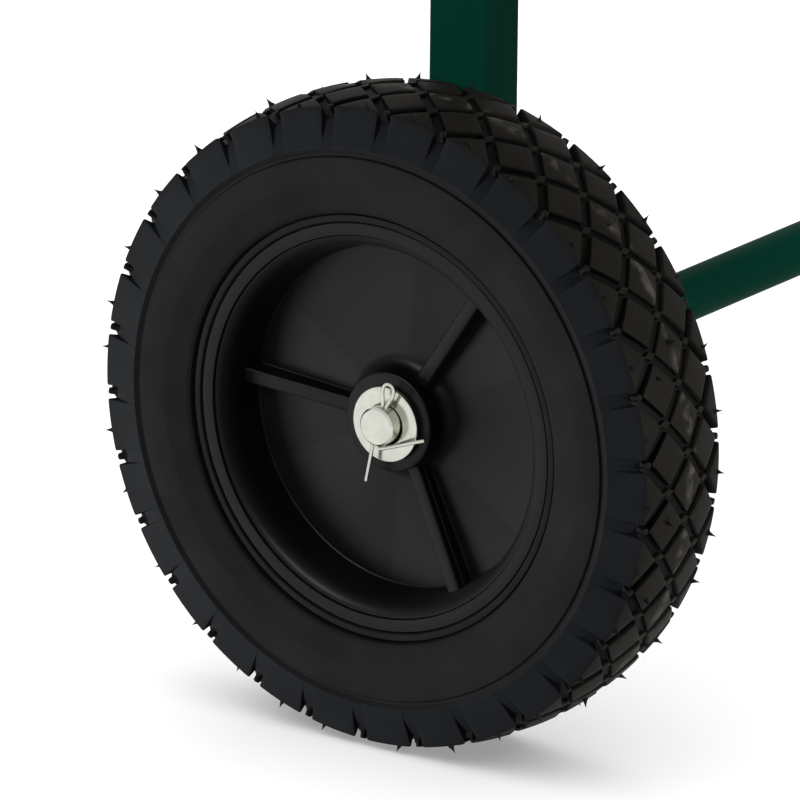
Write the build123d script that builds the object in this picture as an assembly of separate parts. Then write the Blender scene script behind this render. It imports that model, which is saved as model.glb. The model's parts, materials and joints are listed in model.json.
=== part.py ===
from build123d import *
import os
from math import atan2, cos, degrees, hypot, radians, sin, tan

# Outboard motor trolley: two wheels on one axle, two uprights with a transom board, and a folding stand.
# Millimetres. X runs along the axle, -Y is the front, where the motor hangs, and +Z is up.

# Tyre
TYRE_DIAMETER = 203.2
TYRE_WIDTH = 44.45
TREAD_DEPTH = 2.4
TREAD_GROOVE = 2.6
TREAD_PITCHES = 30
CARCASS_SECTORS = 15
TREAD_PHASE = 4.2
TREAD_ROW_STEP = 9.66
CROWN_DROP = 2.4
LUG_FOOT_RADIUS = 86.4
LUG_HEIGHT = 0.9
SIDEWALL_BULGE = 1.2
BEAD_EDGE_RADIUS = 66.65

# Wheel hub
RIM_RADIUS = 63.4
RIM_WIDTH = 38.0
RIM_SEAT_RADIUS = 59.4
RIM_LIP_WIDTH = 3.2
RIM_MOUTH_RADIUS = 59.25
WEB_RADIUS = 53.5
WEB_FACE = 3.4
WEB_THICKNESS = 4.0
BOSS_RADIUS = 15.6
BOSS_FACE = 11.3
RIB_COUNT = 3
RIB_WIDTH = 4.6
RIB_EDGE = 1.4
RIB_INNER_TOP = 7.5
RIB_OUTER_TOP = 9.75
RIB_ANGLE = 55.5
RIM_FIT = 0.15

# Axle, washers and split pins
AXLE_DIAMETER = 12.0
AXLE_RUNNING_FIT = 0.06
AXLE_AHEAD = 2.0
AXLE_END_BEYOND_WASHER = 4.8
AXLE_CHAMFER = 0.6
AXLE_HOLE_FIT = 0.2
WASHER_DIAMETER = 23.4
WASHER_THICKNESS = 1.6
WASHER_FIT = 0.4
WASHER_HANG = 0.3
WHEEL_END_PLAY = 0.2
PIN_FROM_WASHER = 2.6
PIN_TURN = 15.0
PIN_WIRE = 1.2
PIN_LEG_GAP = 0.1
PIN_HOLE_FIT = 0.2
PIN_EYE_WIDTH = 3.9
PIN_EYE_SWELL = 4.0
PIN_EYE_FLAT = 0.17
PIN_EYE_HEIGHT = 8.0
PIN_NECK = 0.8
PIN_TAIL_DROP = 12.2
PIN_TAIL_LEAN = -0.75
PIN_BENT_REACH = 15.8
PIN_BENT_RISE = 10.8
PIN_BEND_RADIUS = 1.2

# Frame tubes
UPRIGHT_SIDE = 20.0
UPRIGHT_SPACING = 360.0
UPRIGHT_TOP = 830.0
UPRIGHT_BELOW_AXLE = 26.0
TUBE_WALL = 1.5
TUBE_CORNER = 1.7
WHEEL_OFFSET = 34.4
AXLE_TUBE_DIAMETER = 16.0
UPPER_CROSS_HEIGHT = 600.0
CROSS_TUBE_DIAMETER = 16.0
PLUG_FLANGE = 2.5
PLUG_BOLT_ROOM = 2.0
PLUG_FIT = 0.1

# Transom board
BOARD_WIDTH = 400.0
BOARD_HEIGHT = 180.0
BOARD_THICKNESS = 30.0
BOARD_CORNER = 14.0
BOARD_BOTTOM = 612.0
BOARD_BOLT_INSET = 32.0
BOARD_BOLT_RECESS = 0.3

# Handles and grips
HANDLE_FIT = 0.1
HANDLE_INSERT = 46.0
HANDLE_RISE = 40.0
HANDLE_BEND_RADIUS = 70.0
HANDLE_LEAN = 55.0
HANDLE_REACH = 130.0
HANDLE_BOLT_DEPTH = 22.0
GRIP_LENGTH = 112.0
GRIP_RADIUS = 14.0
GRIP_FLANGE_RADIUS = 18.0
GRIP_FLANGE_WIDTH = 4.0
GRIP_END_WALL = 4.0
GRIP_FIT = 0.05
GRIP_GROOVES = 8
GRIP_GROOVE_SHIFT = 3.6
GRIP_GROOVE_WIDTH = 3.0
GRIP_GROOVE_DEPTH = 1.2

# Folding stand
PIVOT_HEIGHT = 560.0
STAND_ANGLE = 32.0
LEG_SIDE = 20.0
LEG_GAP = 10.0
LEG_ABOVE_PIVOT = 14.0
LEG_CROSS_FROM_PIVOT = 600.0
FOOT_SIDE = 27.0
FOOT_SLEEVE = 30.0
FOOT_SOLE = 6.0
FOOT_FIT = 0.05
PIVOT_SPACER_DIAMETER = 16.0
PIVOT_FIT = 0.06
SIDE_PLAY = 0.3

# Stays and hooks
STAY_FROM_PIVOT = 320.0
HOOK_FROM_PIVOT = 300.0
STAY_WIDTH = 18.0
STAY_THICKNESS = 3.0
STAY_GAP = 0.4
STUD_RADIUS = 4.0
HOOK_WALL = 6.0
HOOK_TAIL = 9.0
HOOK_TIP = 6.0
HOOK_CLEARANCE = 0.3

# Fasteners
M8_RADIUS = 4.0
M8_FLATS = 13.0
M8_HEAD = 5.3
M8_NUT = 6.8
M8_WASHER_RADIUS = 8.0
M8_WASHER = 1.6
M8_SUNK_HEAD_RADIUS = 8.0
M8_SUNK_HEAD = 4.4
M6_RADIUS = 3.0
M6_FLATS = 10.0
M6_HEAD = 4.0
M6_NUT = 5.2
HOLE_CLEARANCE = 0.15
THREAD_FIT = 0.05
THREAD_END = 3.0

# Places worked out from the sizes above
TYRE_RADIUS = TYRE_DIAMETER / 2
AXLE_RADIUS = AXLE_DIAMETER / 2
AXLE_HEIGHT = TYRE_RADIUS
AXLE_Y = -AXLE_AHEAD
UPRIGHT_X = UPRIGHT_SPACING / 2
UPRIGHT_INNER_X = UPRIGHT_X - UPRIGHT_SIDE / 2
UPRIGHT_OUTER_X = UPRIGHT_X + UPRIGHT_SIDE / 2
WHEEL_X = UPRIGHT_X + WHEEL_OFFSET
WASHER_FACE = BOSS_FACE + WHEEL_END_PLAY
AXLE_END = WASHER_FACE + WASHER_THICKNESS + AXLE_END_BEYOND_WASHER
PIN_PLACE = WASHER_FACE + WASHER_THICKNESS + PIN_FROM_WASHER
BOSS_BACK = WASHER_THICKNESS + WHEEL_END_PLAY - (WHEEL_OFFSET - UPRIGHT_SIDE / 2)
HANDLE_RADIUS = UPRIGHT_SIDE / 2 - TUBE_WALL - HANDLE_FIT
LEG_OUTER_X = UPRIGHT_INNER_X - LEG_GAP
LEG_X = LEG_OUTER_X - LEG_SIDE / 2
LEG_INNER_X = LEG_OUTER_X - LEG_SIDE
UPRIGHT_PLUG_DEPTH = UPRIGHT_BELOW_AXLE - AXLE_RADIUS - PLUG_BOLT_ROOM
LEG_PLUG_DEPTH = LEG_ABOVE_PIVOT - M8_RADIUS - PLUG_BOLT_ROOM
STAND_LEAN = radians(STAND_ANGLE)
LEG_LENGTH = (PIVOT_HEIGHT - FOOT_SOLE - LEG_SIDE / 2 * sin(STAND_LEAN)) / cos(STAND_LEAN)
BOARD_FRONT = -UPRIGHT_SIDE / 2 - BOARD_THICKNESS
BOARD_MIDDLE = BOARD_BOTTOM + BOARD_HEIGHT / 2
SIDES = {"left": -1, "right": 1}


# Shared shapes

def square_tube(side, low, high):
    """Upright hollow square tube between two heights."""
    length = high - low
    outer = extrude(RectangleRounded(side, side, TUBE_CORNER), length)
    inside = side - 2 * TUBE_WALL
    inner = extrude(RectangleRounded(inside, inside, TUBE_CORNER - TUBE_WALL), length)
    return Pos(0, 0, low) * (outer - inner)


def bar_x(radius, start, end, y=0.0, z=0.0):
    """Round bar along X from one x value to another."""
    low, high = sorted((start, end))
    return Pos(low, y, z) * Rot(0, 90, 0) * Rot(0, 0, 90) * extrude(Circle(radius), high - low)


def tube_x(radius, half_length):
    """Round hollow tube along X, centred on X = 0."""
    outer = bar_x(radius, -half_length, half_length)
    return outer - bar_x(radius - TUBE_WALL, -half_length, half_length)


def ring(outer_radius, inner_radius, thickness):
    """Flat washer or spacer that stands on Z = 0."""
    return extrude(Circle(outer_radius) - Circle(inner_radius), thickness)


def hex_nut(radius, flats, height):
    """Hexagon nut that stands on Z = 0."""
    hexagon = RegularPolygon(flats / 2, 6, major_radius=False)
    return extrude(hexagon - Circle(radius + THREAD_FIT), height)


def hex_bolt(radius, flats, head, length):
    """Hexagon bolt: the head lies below Z = 0 and the shank above it."""
    cap = Pos(0, 0, -head) * extrude(RegularPolygon(flats / 2, 6, major_radius=False), head)
    return cap + extrude(Circle(radius), length)


def turned(points):
    """Solid turned about Z from (radius, height) points."""
    return revolve(make_face(Plane.XZ * Polyline(*points, close=True)), Axis.Z)


def tube_plug(side, depth):
    """Plastic plug for a square tube: its flange lies below Z = 0."""
    inside = side - 2 * TUBE_WALL - 2 * PLUG_FIT
    flange = Pos(0, 0, -PLUG_FLANGE) * extrude(RectangleRounded(side, side, TUBE_CORNER), PLUG_FLANGE)
    return flange + extrude(RectangleRounded(inside, inside, TUBE_CORNER - TUBE_WALL), depth)


def facing_out(side, x, y=0.0, z=0.0):
    """Place at x on one side of the trolley whose own Z points outboard."""
    return Location(Plane((side * x, y, z), x_dir=(0, side, 0), z_dir=(side, 0, 0)))


def facing_in(side, x, y=0.0, z=0.0):
    """Place at x on one side of the trolley whose own Z points to the middle."""
    return Location(Plane((side * x, y, z), x_dir=(0, -side, 0), z_dir=(-side, 0, 0)))


# Wheel, in its own frame: Z along the axle, outboard, with Z = 0 in the tyre's middle plane

def crown_profile(foot, drop, inset, inner_points):
    """Closed tyre section from a lug foot over the crown to the other side and back along inner points."""
    side = TYRE_WIDTH / 2 - inset
    edge = TYRE_RADIUS - CROWN_DROP - drop
    shoulder = 2 * TREAD_ROW_STEP - inset
    rise = [(foot, side), (edge, shoulder)]
    fall = [(r, -z) for r, z in reversed(rise)]
    first = Polyline(*rise)
    crown = ThreePointArc(rise[-1], (TYRE_RADIUS - drop, 0), fall[0])
    last = Polyline(*fall)
    back = Polyline(fall[-1], *inner_points, rise[0])
    return make_face(Plane.XZ * (first + crown + last + back))


def carcass_sectors():
    """Tyre without its tread blocks, in equal sectors about the axle."""
    seat = RIM_SEAT_RADIUS + RIM_FIT
    lip = RIM_RADIUS + RIM_FIT
    step = RIM_WIDTH / 2 - RIM_LIP_WIDTH - RIM_FIT
    face = RIM_WIDTH / 2
    bulge = face + SIDEWALL_BULGE
    side = TYRE_WIDTH / 2
    half = [
        (LUG_FOOT_RADIUS - LUG_HEIGHT, side),
        (0.5 * (BEAD_EDGE_RADIUS + LUG_FOOT_RADIUS), 0.5 * (bulge + side)),
        (BEAD_EDGE_RADIUS, bulge),
        (BEAD_EDGE_RADIUS, face),
        (lip, face),
        (lip, step),
        (seat, step),
    ]
    inner = [(r, -z) for r, z in half] + list(reversed(half))
    angle = 360 / CARCASS_SECTORS
    sector = revolve(crown_profile(LUG_FOOT_RADIUS, TREAD_DEPTH, LUG_HEIGHT, inner), Axis.Z, angle)
    return [Rot(0, 0, angle * count) * sector for count in range(CARCASS_SECTORS)]


def tread_skin():
    """Ring that holds every tread block, from inside the carcass to the tyre's outside."""
    root = TYRE_RADIUS - CROWN_DROP - 2 * TREAD_DEPTH
    side = TYRE_WIDTH / 2 - 2 * LUG_HEIGHT
    flank = 2 * TREAD_ROW_STEP - TREAD_DEPTH
    inner = [(LUG_FOOT_RADIUS, -side), (root, -flank), (root, flank), (LUG_FOOT_RADIUS, side)]
    return revolve(crown_profile(LUG_FOOT_RADIUS, 0, 0, inner), Axis.Z)


def tread_blocks():
    """One block of each tread row, cut from the skin: three diamond rows and two rows of shoulder lugs."""
    half_pitch = radians(180 / TREAD_PITCHES) * TYRE_RADIUS
    slant = hypot(half_pitch, TREAD_ROW_STEP)
    inset = TREAD_GROOVE / 2 * slant
    wide = half_pitch - inset / TREAD_ROW_STEP
    tall = TREAD_ROW_STEP - inset / half_pitch
    diamond = Polyline((wide, 0), (0, tall), (-wide, 0), (0, -tall), close=True)
    apex = TREAD_ROW_STEP + inset / half_pitch
    lug_points = [(0, apex), (wide, 2 * TREAD_ROW_STEP), (wide, TYRE_WIDTH), (-wide, TYRE_WIDTH)]
    lug = Polyline(*lug_points, (-wide, 2 * TREAD_ROW_STEP), close=True)
    half_turn = 180 / TREAD_PITCHES
    outlines = [
        (Pos(0, TREAD_ROW_STEP) * diamond, 0),
        (diamond, half_turn),
        (Pos(0, -TREAD_ROW_STEP) * diamond, 0),
        (lug, half_turn),
        (mirror(lug, about=Plane.XZ), half_turn),
    ]
    skin = tread_skin()
    root = LUG_FOOT_RADIUS - TREAD_DEPTH
    tangent = Plane((root, 0, 0), x_dir=(0, 1, 0), z_dir=(1, 0, 0))
    blocks = []
    for outline, turn in outlines:
        column = extrude(tangent * make_face(outline), TYRE_RADIUS - root + TREAD_DEPTH)
        blocks.append(Rot(0, 0, TREAD_PHASE + turn) * (skin & column))
    return blocks


def make_tyre():
    """Solid rubber tyre with its diamond tread."""
    blocks = tread_blocks()
    pitch = 360 / TREAD_PITCHES
    tread = [Rot(0, 0, pitch * count) * block for count in range(TREAD_PITCHES) for block in blocks]
    first, *others = carcass_sectors()
    return first.fuse(*others, *tread)


def make_hub():
    """Moulded hub: rim, web, boss and ribs on both faces."""
    edge = RIM_WIDTH / 2
    seat = edge - RIM_LIP_WIDTH
    web_back = WEB_FACE - WEB_THICKNESS
    bore = AXLE_RADIUS + AXLE_RUNNING_FIT
    body = turned([
        (RIM_MOUTH_RADIUS, edge), (RIM_RADIUS, edge), (RIM_RADIUS, seat), (RIM_SEAT_RADIUS, seat),
        (RIM_SEAT_RADIUS, -seat), (RIM_RADIUS, -seat), (RIM_RADIUS, -edge), (RIM_MOUTH_RADIUS, -edge),
        (WEB_RADIUS, web_back), (BOSS_RADIUS, web_back), (BOSS_RADIUS, BOSS_BACK), (bore, BOSS_BACK),
        (bore, BOSS_FACE), (BOSS_RADIUS, BOSS_FACE), (BOSS_RADIUS, WEB_FACE), (WEB_RADIUS, WEB_FACE),
    ])
    reach = 0.5 * (WEB_RADIUS + RIM_SEAT_RADIUS)
    start = 0.5 * (bore + BOSS_RADIUS)
    middle = (WEB_FACE + web_back) / 2
    outline = [(start, middle), (reach, middle), (reach, RIB_OUTER_TOP), (start, RIB_INNER_TOP)]
    rib = extrude(make_face(Plane.XZ * Polyline(*outline, close=True)), RIB_WIDTH / 2, both=True)
    crest = rib.edges().sort_by(SortBy.LENGTH)[-4:].sort_by(Axis.Z)[-2:]
    rib = fillet(crest, RIB_EDGE)
    angles = [RIB_ANGLE + 360 / RIB_COUNT * count for count in range(RIB_COUNT)]
    ribs = [Rot(0, 0, angle) * rib for angle in angles]
    return body + ribs + [mirror(rib, about=Plane((0, 0, middle))) for rib in ribs]


def make_split_pin():
    """Split pin in the wheel's frame: eye up, one leg straight down and one bent aside under the axle."""
    half = (PIN_WIRE + PIN_LEG_GAP) / 2
    eye = PIN_EYE_WIDTH / 2
    neck = AXLE_RADIUS + PIN_NECK
    crown = AXLE_RADIUS + PIN_EYE_HEIGHT
    elbow = -AXLE_RADIUS - PIN_NECK
    points = [
        (-half - PIN_TAIL_LEAN, elbow - PIN_TAIL_DROP), (-half, elbow), (-half, neck),
        (-eye, neck + PIN_EYE_SWELL), (-eye, crown), (eye, crown), (eye, neck + PIN_EYE_SWELL), (half, neck),
        (half, elbow - PIN_WIRE), (half + PIN_BENT_REACH, elbow - PIN_WIRE + PIN_BENT_RISE),
    ]
    bends = [PIN_BEND_RADIUS] * 3 + [eye - PIN_EYE_FLAT / 2] * 2 + [PIN_BEND_RADIUS] * 3
    path = FilletPolyline(*points, radius=bends)
    wire = Plane(path @ 0, z_dir=path % 0) * Circle(PIN_WIRE / 2)
    return Pos(0, 0, PIN_PLACE) * Rot(0, 0, -PIN_TURN) * sweep(wire, path=path)


def make_axle():
    """Axle rod through both wheels, chamfered, with a cross hole near each end."""
    end = WHEEL_X + AXLE_END
    rod = bar_x(AXLE_RADIUS, -end, end, AXLE_Y, AXLE_HEIGHT)
    rod = chamfer(rod.edges().filter_by(GeomType.CIRCLE), AXLE_CHAMFER)
    hole_radius = PIN_WIRE + PIN_LEG_GAP / 2 + PIN_HOLE_FIT
    hole = Rot(0, 0, -PIN_TURN) * Rot(90, 0, 0) * Cylinder(hole_radius, 2 * AXLE_DIAMETER)
    for side in SIDES.values():
        rod -= facing_out(side, WHEEL_X + PIN_PLACE, AXLE_Y, AXLE_HEIGHT) * hole
    return rod


# Frame

def board_bolt_places():
    """Places of the four board bolts as (x, z)."""
    low = BOARD_BOTTOM + BOARD_BOLT_INSET
    high = BOARD_BOTTOM + BOARD_HEIGHT - BOARD_BOLT_INSET
    return [(side * UPRIGHT_X, z) for side in SIDES.values() for z in (low, high)]


def make_upright(side):
    """Square tube from below the axle to the handle, drilled for everything that passes through it."""
    foot = AXLE_HEIGHT - UPRIGHT_BELOW_AXLE
    tube = Pos(side * UPRIGHT_X, 0, 0) * square_tube(UPRIGHT_SIDE, foot, UPRIGHT_TOP)
    through = (side * UPRIGHT_INNER_X - side, side * UPRIGHT_OUTER_X + side)
    tube -= bar_x(AXLE_RADIUS + AXLE_HOLE_FIT, *through, AXLE_Y, AXLE_HEIGHT)
    tube -= bar_x(M8_RADIUS + HOLE_CLEARANCE, *through, z=PIVOT_HEIGHT)
    tube -= bar_x(M6_RADIUS + HOLE_CLEARANCE, *through, z=UPRIGHT_TOP - HANDLE_BOLT_DEPTH)
    drill = Rot(90, 0, 0) * Cylinder(M8_RADIUS + HOLE_CLEARANCE, 2 * UPRIGHT_SIDE)
    for x, z in board_bolt_places():
        if x * side > 0:
            tube -= Pos(x, 0, z) * drill
    return tube


def make_board():
    """Plywood transom board across the front of the uprights, with four countersunk holes."""
    face = Plane((0, BOARD_FRONT, BOARD_MIDDLE), x_dir=(1, 0, 0), z_dir=(0, -1, 0))
    board = extrude(face * RectangleRounded(BOARD_WIDTH, BOARD_HEIGHT, BOARD_CORNER), -BOARD_THICKNESS)
    for x, z in board_bolt_places():
        board -= Pos(x, BOARD_FRONT, z) * Rot(-90, 0, 0) * sunk_bolt_room()
    return board


def sunk_bolt(length):
    """Countersunk bolt: its flat head lies in Z = 0 and its shank runs along +Z."""
    return turned([
        (0, 0), (M8_SUNK_HEAD_RADIUS, 0), (M8_RADIUS, M8_SUNK_HEAD), (M8_RADIUS, length), (0, length),
    ])


def sunk_bolt_room():
    """Room that a countersunk bolt takes in the board, with its clearance and recess."""
    shank = M8_RADIUS + HOLE_CLEARANCE
    wide = M8_SUNK_HEAD_RADIUS + HOLE_CLEARANCE
    deep = BOARD_BOLT_RECESS + M8_SUNK_HEAD
    end = BOARD_THICKNESS + M8_WASHER
    return turned([(0, 0), (wide, 0), (wide, BOARD_BOLT_RECESS), (shank, deep), (shank, end), (0, end)])


def board_fasteners():
    """Bolts, washers and nuts of the board as three groups."""
    stack = BOARD_THICKNESS + UPRIGHT_SIDE - BOARD_BOLT_RECESS
    bolt = sunk_bolt(stack + M8_WASHER + M8_NUT + THREAD_END)
    washer = ring(M8_WASHER_RADIUS, M8_RADIUS + HOLE_CLEARANCE, M8_WASHER)
    nut = hex_nut(M8_RADIUS, M8_FLATS, M8_NUT)
    groups = {"board_bolts": [], "board_washers": [], "board_nuts": []}
    back = UPRIGHT_SIDE / 2
    for x, z in board_bolt_places():
        groups["board_bolts"].append(Pos(x, BOARD_FRONT + BOARD_BOLT_RECESS, z) * Rot(-90, 0, 0) * bolt)
        groups["board_washers"].append(Pos(x, back, z) * Rot(-90, 0, 0) * washer)
        groups["board_nuts"].append(Pos(x, back + M8_WASHER, z) * Rot(-90, 0, 0) * nut)
    return groups


def handle_path():
    """Middle line of a handle tube in the YZ plane: up out of the upright, then back."""
    lean = radians(HANDLE_LEAN)
    corner = UPRIGHT_TOP + HANDLE_RISE + HANDLE_BEND_RADIUS * tan(lean / 2)
    run = HANDLE_BEND_RADIUS * tan(lean / 2) + HANDLE_REACH
    start = (0, UPRIGHT_TOP - HANDLE_INSERT)
    end = (run * sin(lean), corner + run * cos(lean))
    return Plane.YZ * FilletPolyline(start, (0, corner), end, radius=HANDLE_BEND_RADIUS)


def make_handle(side):
    """Bent round tube that stands in the head of an upright."""
    path = handle_path()
    section = Plane(path @ 0, z_dir=path % 0)
    tube = sweep(section * Circle(HANDLE_RADIUS), path=path)
    tube -= sweep(section * Circle(HANDLE_RADIUS - TUBE_WALL), path=path)
    bolt_height = UPRIGHT_TOP - HANDLE_BOLT_DEPTH
    tube -= bar_x(M6_RADIUS + HOLE_CLEARANCE, -UPRIGHT_SIDE, UPRIGHT_SIDE, z=bolt_height)
    return Pos(side * UPRIGHT_X, 0, 0) * tube


def make_grip(side):
    """Rubber grip with a flange, ring grooves and a closed end, pushed on the handle."""
    bore = HANDLE_RADIUS + GRIP_FIT
    start = GRIP_FLANGE_WIDTH - GRIP_LENGTH
    points = [(bore, -GRIP_LENGTH), (GRIP_FLANGE_RADIUS, -GRIP_LENGTH), (GRIP_FLANGE_RADIUS, start)]
    step = -start / (GRIP_GROOVES + 1)
    points.append((GRIP_RADIUS, start + GRIP_FLANGE_RADIUS - GRIP_RADIUS))
    for count in range(1, GRIP_GROOVES + 1):
        middle = start + step * count + GRIP_GROOVE_SHIFT
        half = GRIP_GROOVE_WIDTH / 2
        low = GRIP_RADIUS - GRIP_GROOVE_DEPTH
        points += [(GRIP_RADIUS, middle - half), (low, middle - half / 2)]
        points += [(low, middle + half / 2), (GRIP_RADIUS, middle + half)]
    points += [(GRIP_RADIUS, GRIP_END_WALL / 2), (GRIP_RADIUS - GRIP_END_WALL / 2, GRIP_END_WALL)]
    points += [(0, GRIP_END_WALL), (0, 0), (bore, 0)]
    path = handle_path()
    place = Plane(path @ 1, z_dir=path % 1)
    return Pos(side * UPRIGHT_X, 0, 0) * place.location * turned(points)


# Stand, modelled hanging straight down from its pivot and then swung forward

def stand_place():
    """Place of the stand's pivot line, swung to its open angle."""
    return Pos(0, 0, PIVOT_HEIGHT) * Rot(-STAND_ANGLE, 0, 0)


def make_leg(side):
    """Square tube leg, drilled for its pivot bolt and its stay bolt."""
    leg = Pos(side * LEG_X, 0, 0) * square_tube(LEG_SIDE, -LEG_LENGTH, LEG_ABOVE_PIVOT)
    through = (side * LEG_INNER_X - side, side * LEG_OUTER_X + side)
    leg -= bar_x(M8_RADIUS + PIVOT_FIT, *through)
    leg -= bar_x(M6_RADIUS + HOLE_CLEARANCE, *through, z=-STAY_FROM_PIVOT)
    return stand_place() * leg


def make_foot(side):
    """Rubber foot sleeved on a leg, with its sole flat on the floor."""
    length = FOOT_SLEEVE + 2 * FOOT_SIDE
    top = FOOT_SLEEVE - LEG_LENGTH
    block = extrude(RectangleRounded(FOOT_SIDE, FOOT_SIDE, TUBE_CORNER + TUBE_WALL), -length)
    room_side = LEG_SIDE + 2 * FOOT_FIT
    room = extrude(RectangleRounded(room_side, room_side, TUBE_CORNER + FOOT_FIT), -FOOT_SLEEVE)
    foot = stand_place() * Pos(side * LEG_X, 0, top) * (block - room)
    floor = Pos(0, 0, -2 * length) * Box(2 * UPRIGHT_SPACING, 4 * PIVOT_HEIGHT, 4 * length)
    return foot - floor


def stay_ends():
    """Stay bolt on the leg and stud in the hook, as (y, z) each."""
    bolt = (-STAY_FROM_PIVOT * sin(STAND_LEAN), PIVOT_HEIGHT - STAY_FROM_PIVOT * cos(STAND_LEAN))
    return bolt, (0.0, PIVOT_HEIGHT - HOOK_FROM_PIVOT)


def make_stay(side):
    """Flat bar from the leg to the hook, with a hole at each end."""
    (y, z), (stud_y, stud_z) = stay_ends()
    length = hypot(stud_y - y, stud_z - z)
    place = Location((LEG_OUTER_X + STAY_GAP, y, z)) * Rot(degrees(atan2(stud_z - z, stud_y - y)), 0, 0)
    outline = Pos(length / 2, 0) * SlotCenterToCenter(length, STAY_WIDTH)
    outline -= Circle(M6_RADIUS + PIVOT_FIT)
    outline -= Pos(length, 0) * Circle(M6_RADIUS)
    bar = place * extrude(Plane.YZ * outline, STAY_THICKNESS)
    return bar if side > 0 else mirror(bar, about=Plane.YZ)


def make_stay_stud(side):
    """Shouldered stud riveted in the stay's end, its shoulder towards the upright."""
    _, (y, z) = stay_ends()
    start = LEG_OUTER_X + STAY_GAP
    face = start + STAY_THICKNESS
    tail = bar_x(M6_RADIUS, side * start, side * face, y, z)
    return tail + bar_x(STUD_RADIUS, side * face, side * (UPRIGHT_INNER_X - SIDE_PLAY), y, z)


def make_hook(side):
    """Hook welded to an upright's inner face: a floor under the stud and a tip in front of it."""
    _, (y, z) = stay_ends()
    near = STUD_RADIUS + HOOK_CLEARANCE
    far = near + HOOK_WALL
    outline = Polyline(
        (y - far, z - far), (y + HOOK_TAIL, z - far), (y + HOOK_TAIL, z - near),
        (y - near, z - near), (y - near, z + HOOK_TIP), (y - far, z + HOOK_TIP), close=True,
    )
    thickness = LEG_GAP - STAY_GAP - STAY_THICKNESS - SIDE_PLAY
    hook = Pos(UPRIGHT_INNER_X - thickness, 0, 0) * extrude(Plane.YZ * make_face(outline), thickness)
    return hook if side > 0 else mirror(hook, about=Plane.YZ)


def pivot_fasteners():
    """Leg pivot bolts, spacers and nuts as three groups."""
    length = UPRIGHT_SIDE + LEG_GAP + LEG_SIDE + SIDE_PLAY + M8_NUT + THREAD_END
    bolt = hex_bolt(M8_RADIUS, M8_FLATS, M8_HEAD, length)
    spacer = ring(PIVOT_SPACER_DIAMETER / 2, M8_RADIUS + HOLE_CLEARANCE, LEG_GAP - SIDE_PLAY)
    nut = hex_nut(M8_RADIUS, M8_FLATS, M8_NUT)
    groups = {"pivot_bolts": [], "pivot_spacers": [], "pivot_nuts": []}
    for side in SIDES.values():
        groups["pivot_bolts"].append(facing_in(side, UPRIGHT_OUTER_X, z=PIVOT_HEIGHT) * bolt)
        groups["pivot_spacers"].append(facing_in(side, UPRIGHT_INNER_X, z=PIVOT_HEIGHT) * spacer)
        groups["pivot_nuts"].append(facing_in(side, LEG_INNER_X - SIDE_PLAY, z=PIVOT_HEIGHT) * nut)
    return groups


def stay_fasteners():
    """Stay pivot bolts and nuts as two groups."""
    (y, z), _ = stay_ends()
    head_x = LEG_OUTER_X + STAY_GAP + STAY_THICKNESS + SIDE_PLAY
    bolt = hex_bolt(M6_RADIUS, M6_FLATS, M6_HEAD, head_x - LEG_INNER_X + M6_NUT + THREAD_END)
    nut = hex_nut(M6_RADIUS, M6_FLATS, M6_NUT)
    groups = {"stay_bolts": [], "stay_nuts": []}
    for side in SIDES.values():
        groups["stay_bolts"].append(facing_in(side, head_x, y, z) * bolt)
        groups["stay_nuts"].append(facing_in(side, LEG_INNER_X, y, z) * nut)
    return groups


def handle_fasteners():
    """Handle bolts and nuts as two groups."""
    z = UPRIGHT_TOP - HANDLE_BOLT_DEPTH
    bolt = hex_bolt(M6_RADIUS, M6_FLATS, M6_HEAD, UPRIGHT_SIDE + M6_NUT + THREAD_END)
    nut = hex_nut(M6_RADIUS, M6_FLATS, M6_NUT)
    groups = {"handle_bolts": [], "handle_nuts": []}
    for side in SIDES.values():
        groups["handle_bolts"].append(facing_in(side, UPRIGHT_OUTER_X, z=z) * bolt)
        groups["handle_nuts"].append(facing_in(side, UPRIGHT_INNER_X, z=z) * nut)
    return groups


# Assembly

def make_wheels():
    """Tyre, hub, washers and split pin of both wheels."""
    tyre = make_tyre()
    hub = make_hub()
    pin = make_split_pin()
    washer = ring(WASHER_DIAMETER / 2, AXLE_RADIUS + WASHER_FIT, WASHER_THICKNESS)
    pieces = {}
    for name, side in SIDES.items():
        place = facing_out(side, WHEEL_X, AXLE_Y, AXLE_HEIGHT)
        pieces[f"{name}_tyre"] = place * tyre
        pieces[f"{name}_wheel_hub"] = place * hub
        pieces[f"{name}_split_pin"] = place * pin
        hung = AXLE_HEIGHT - WASHER_HANG
        pieces[f"{name}_outer_washer"] = facing_out(side, WHEEL_X + WASHER_FACE, AXLE_Y, hung) * washer
        pieces[f"{name}_inner_washer"] = facing_out(side, UPRIGHT_OUTER_X, AXLE_Y, hung) * washer
    return pieces


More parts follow.
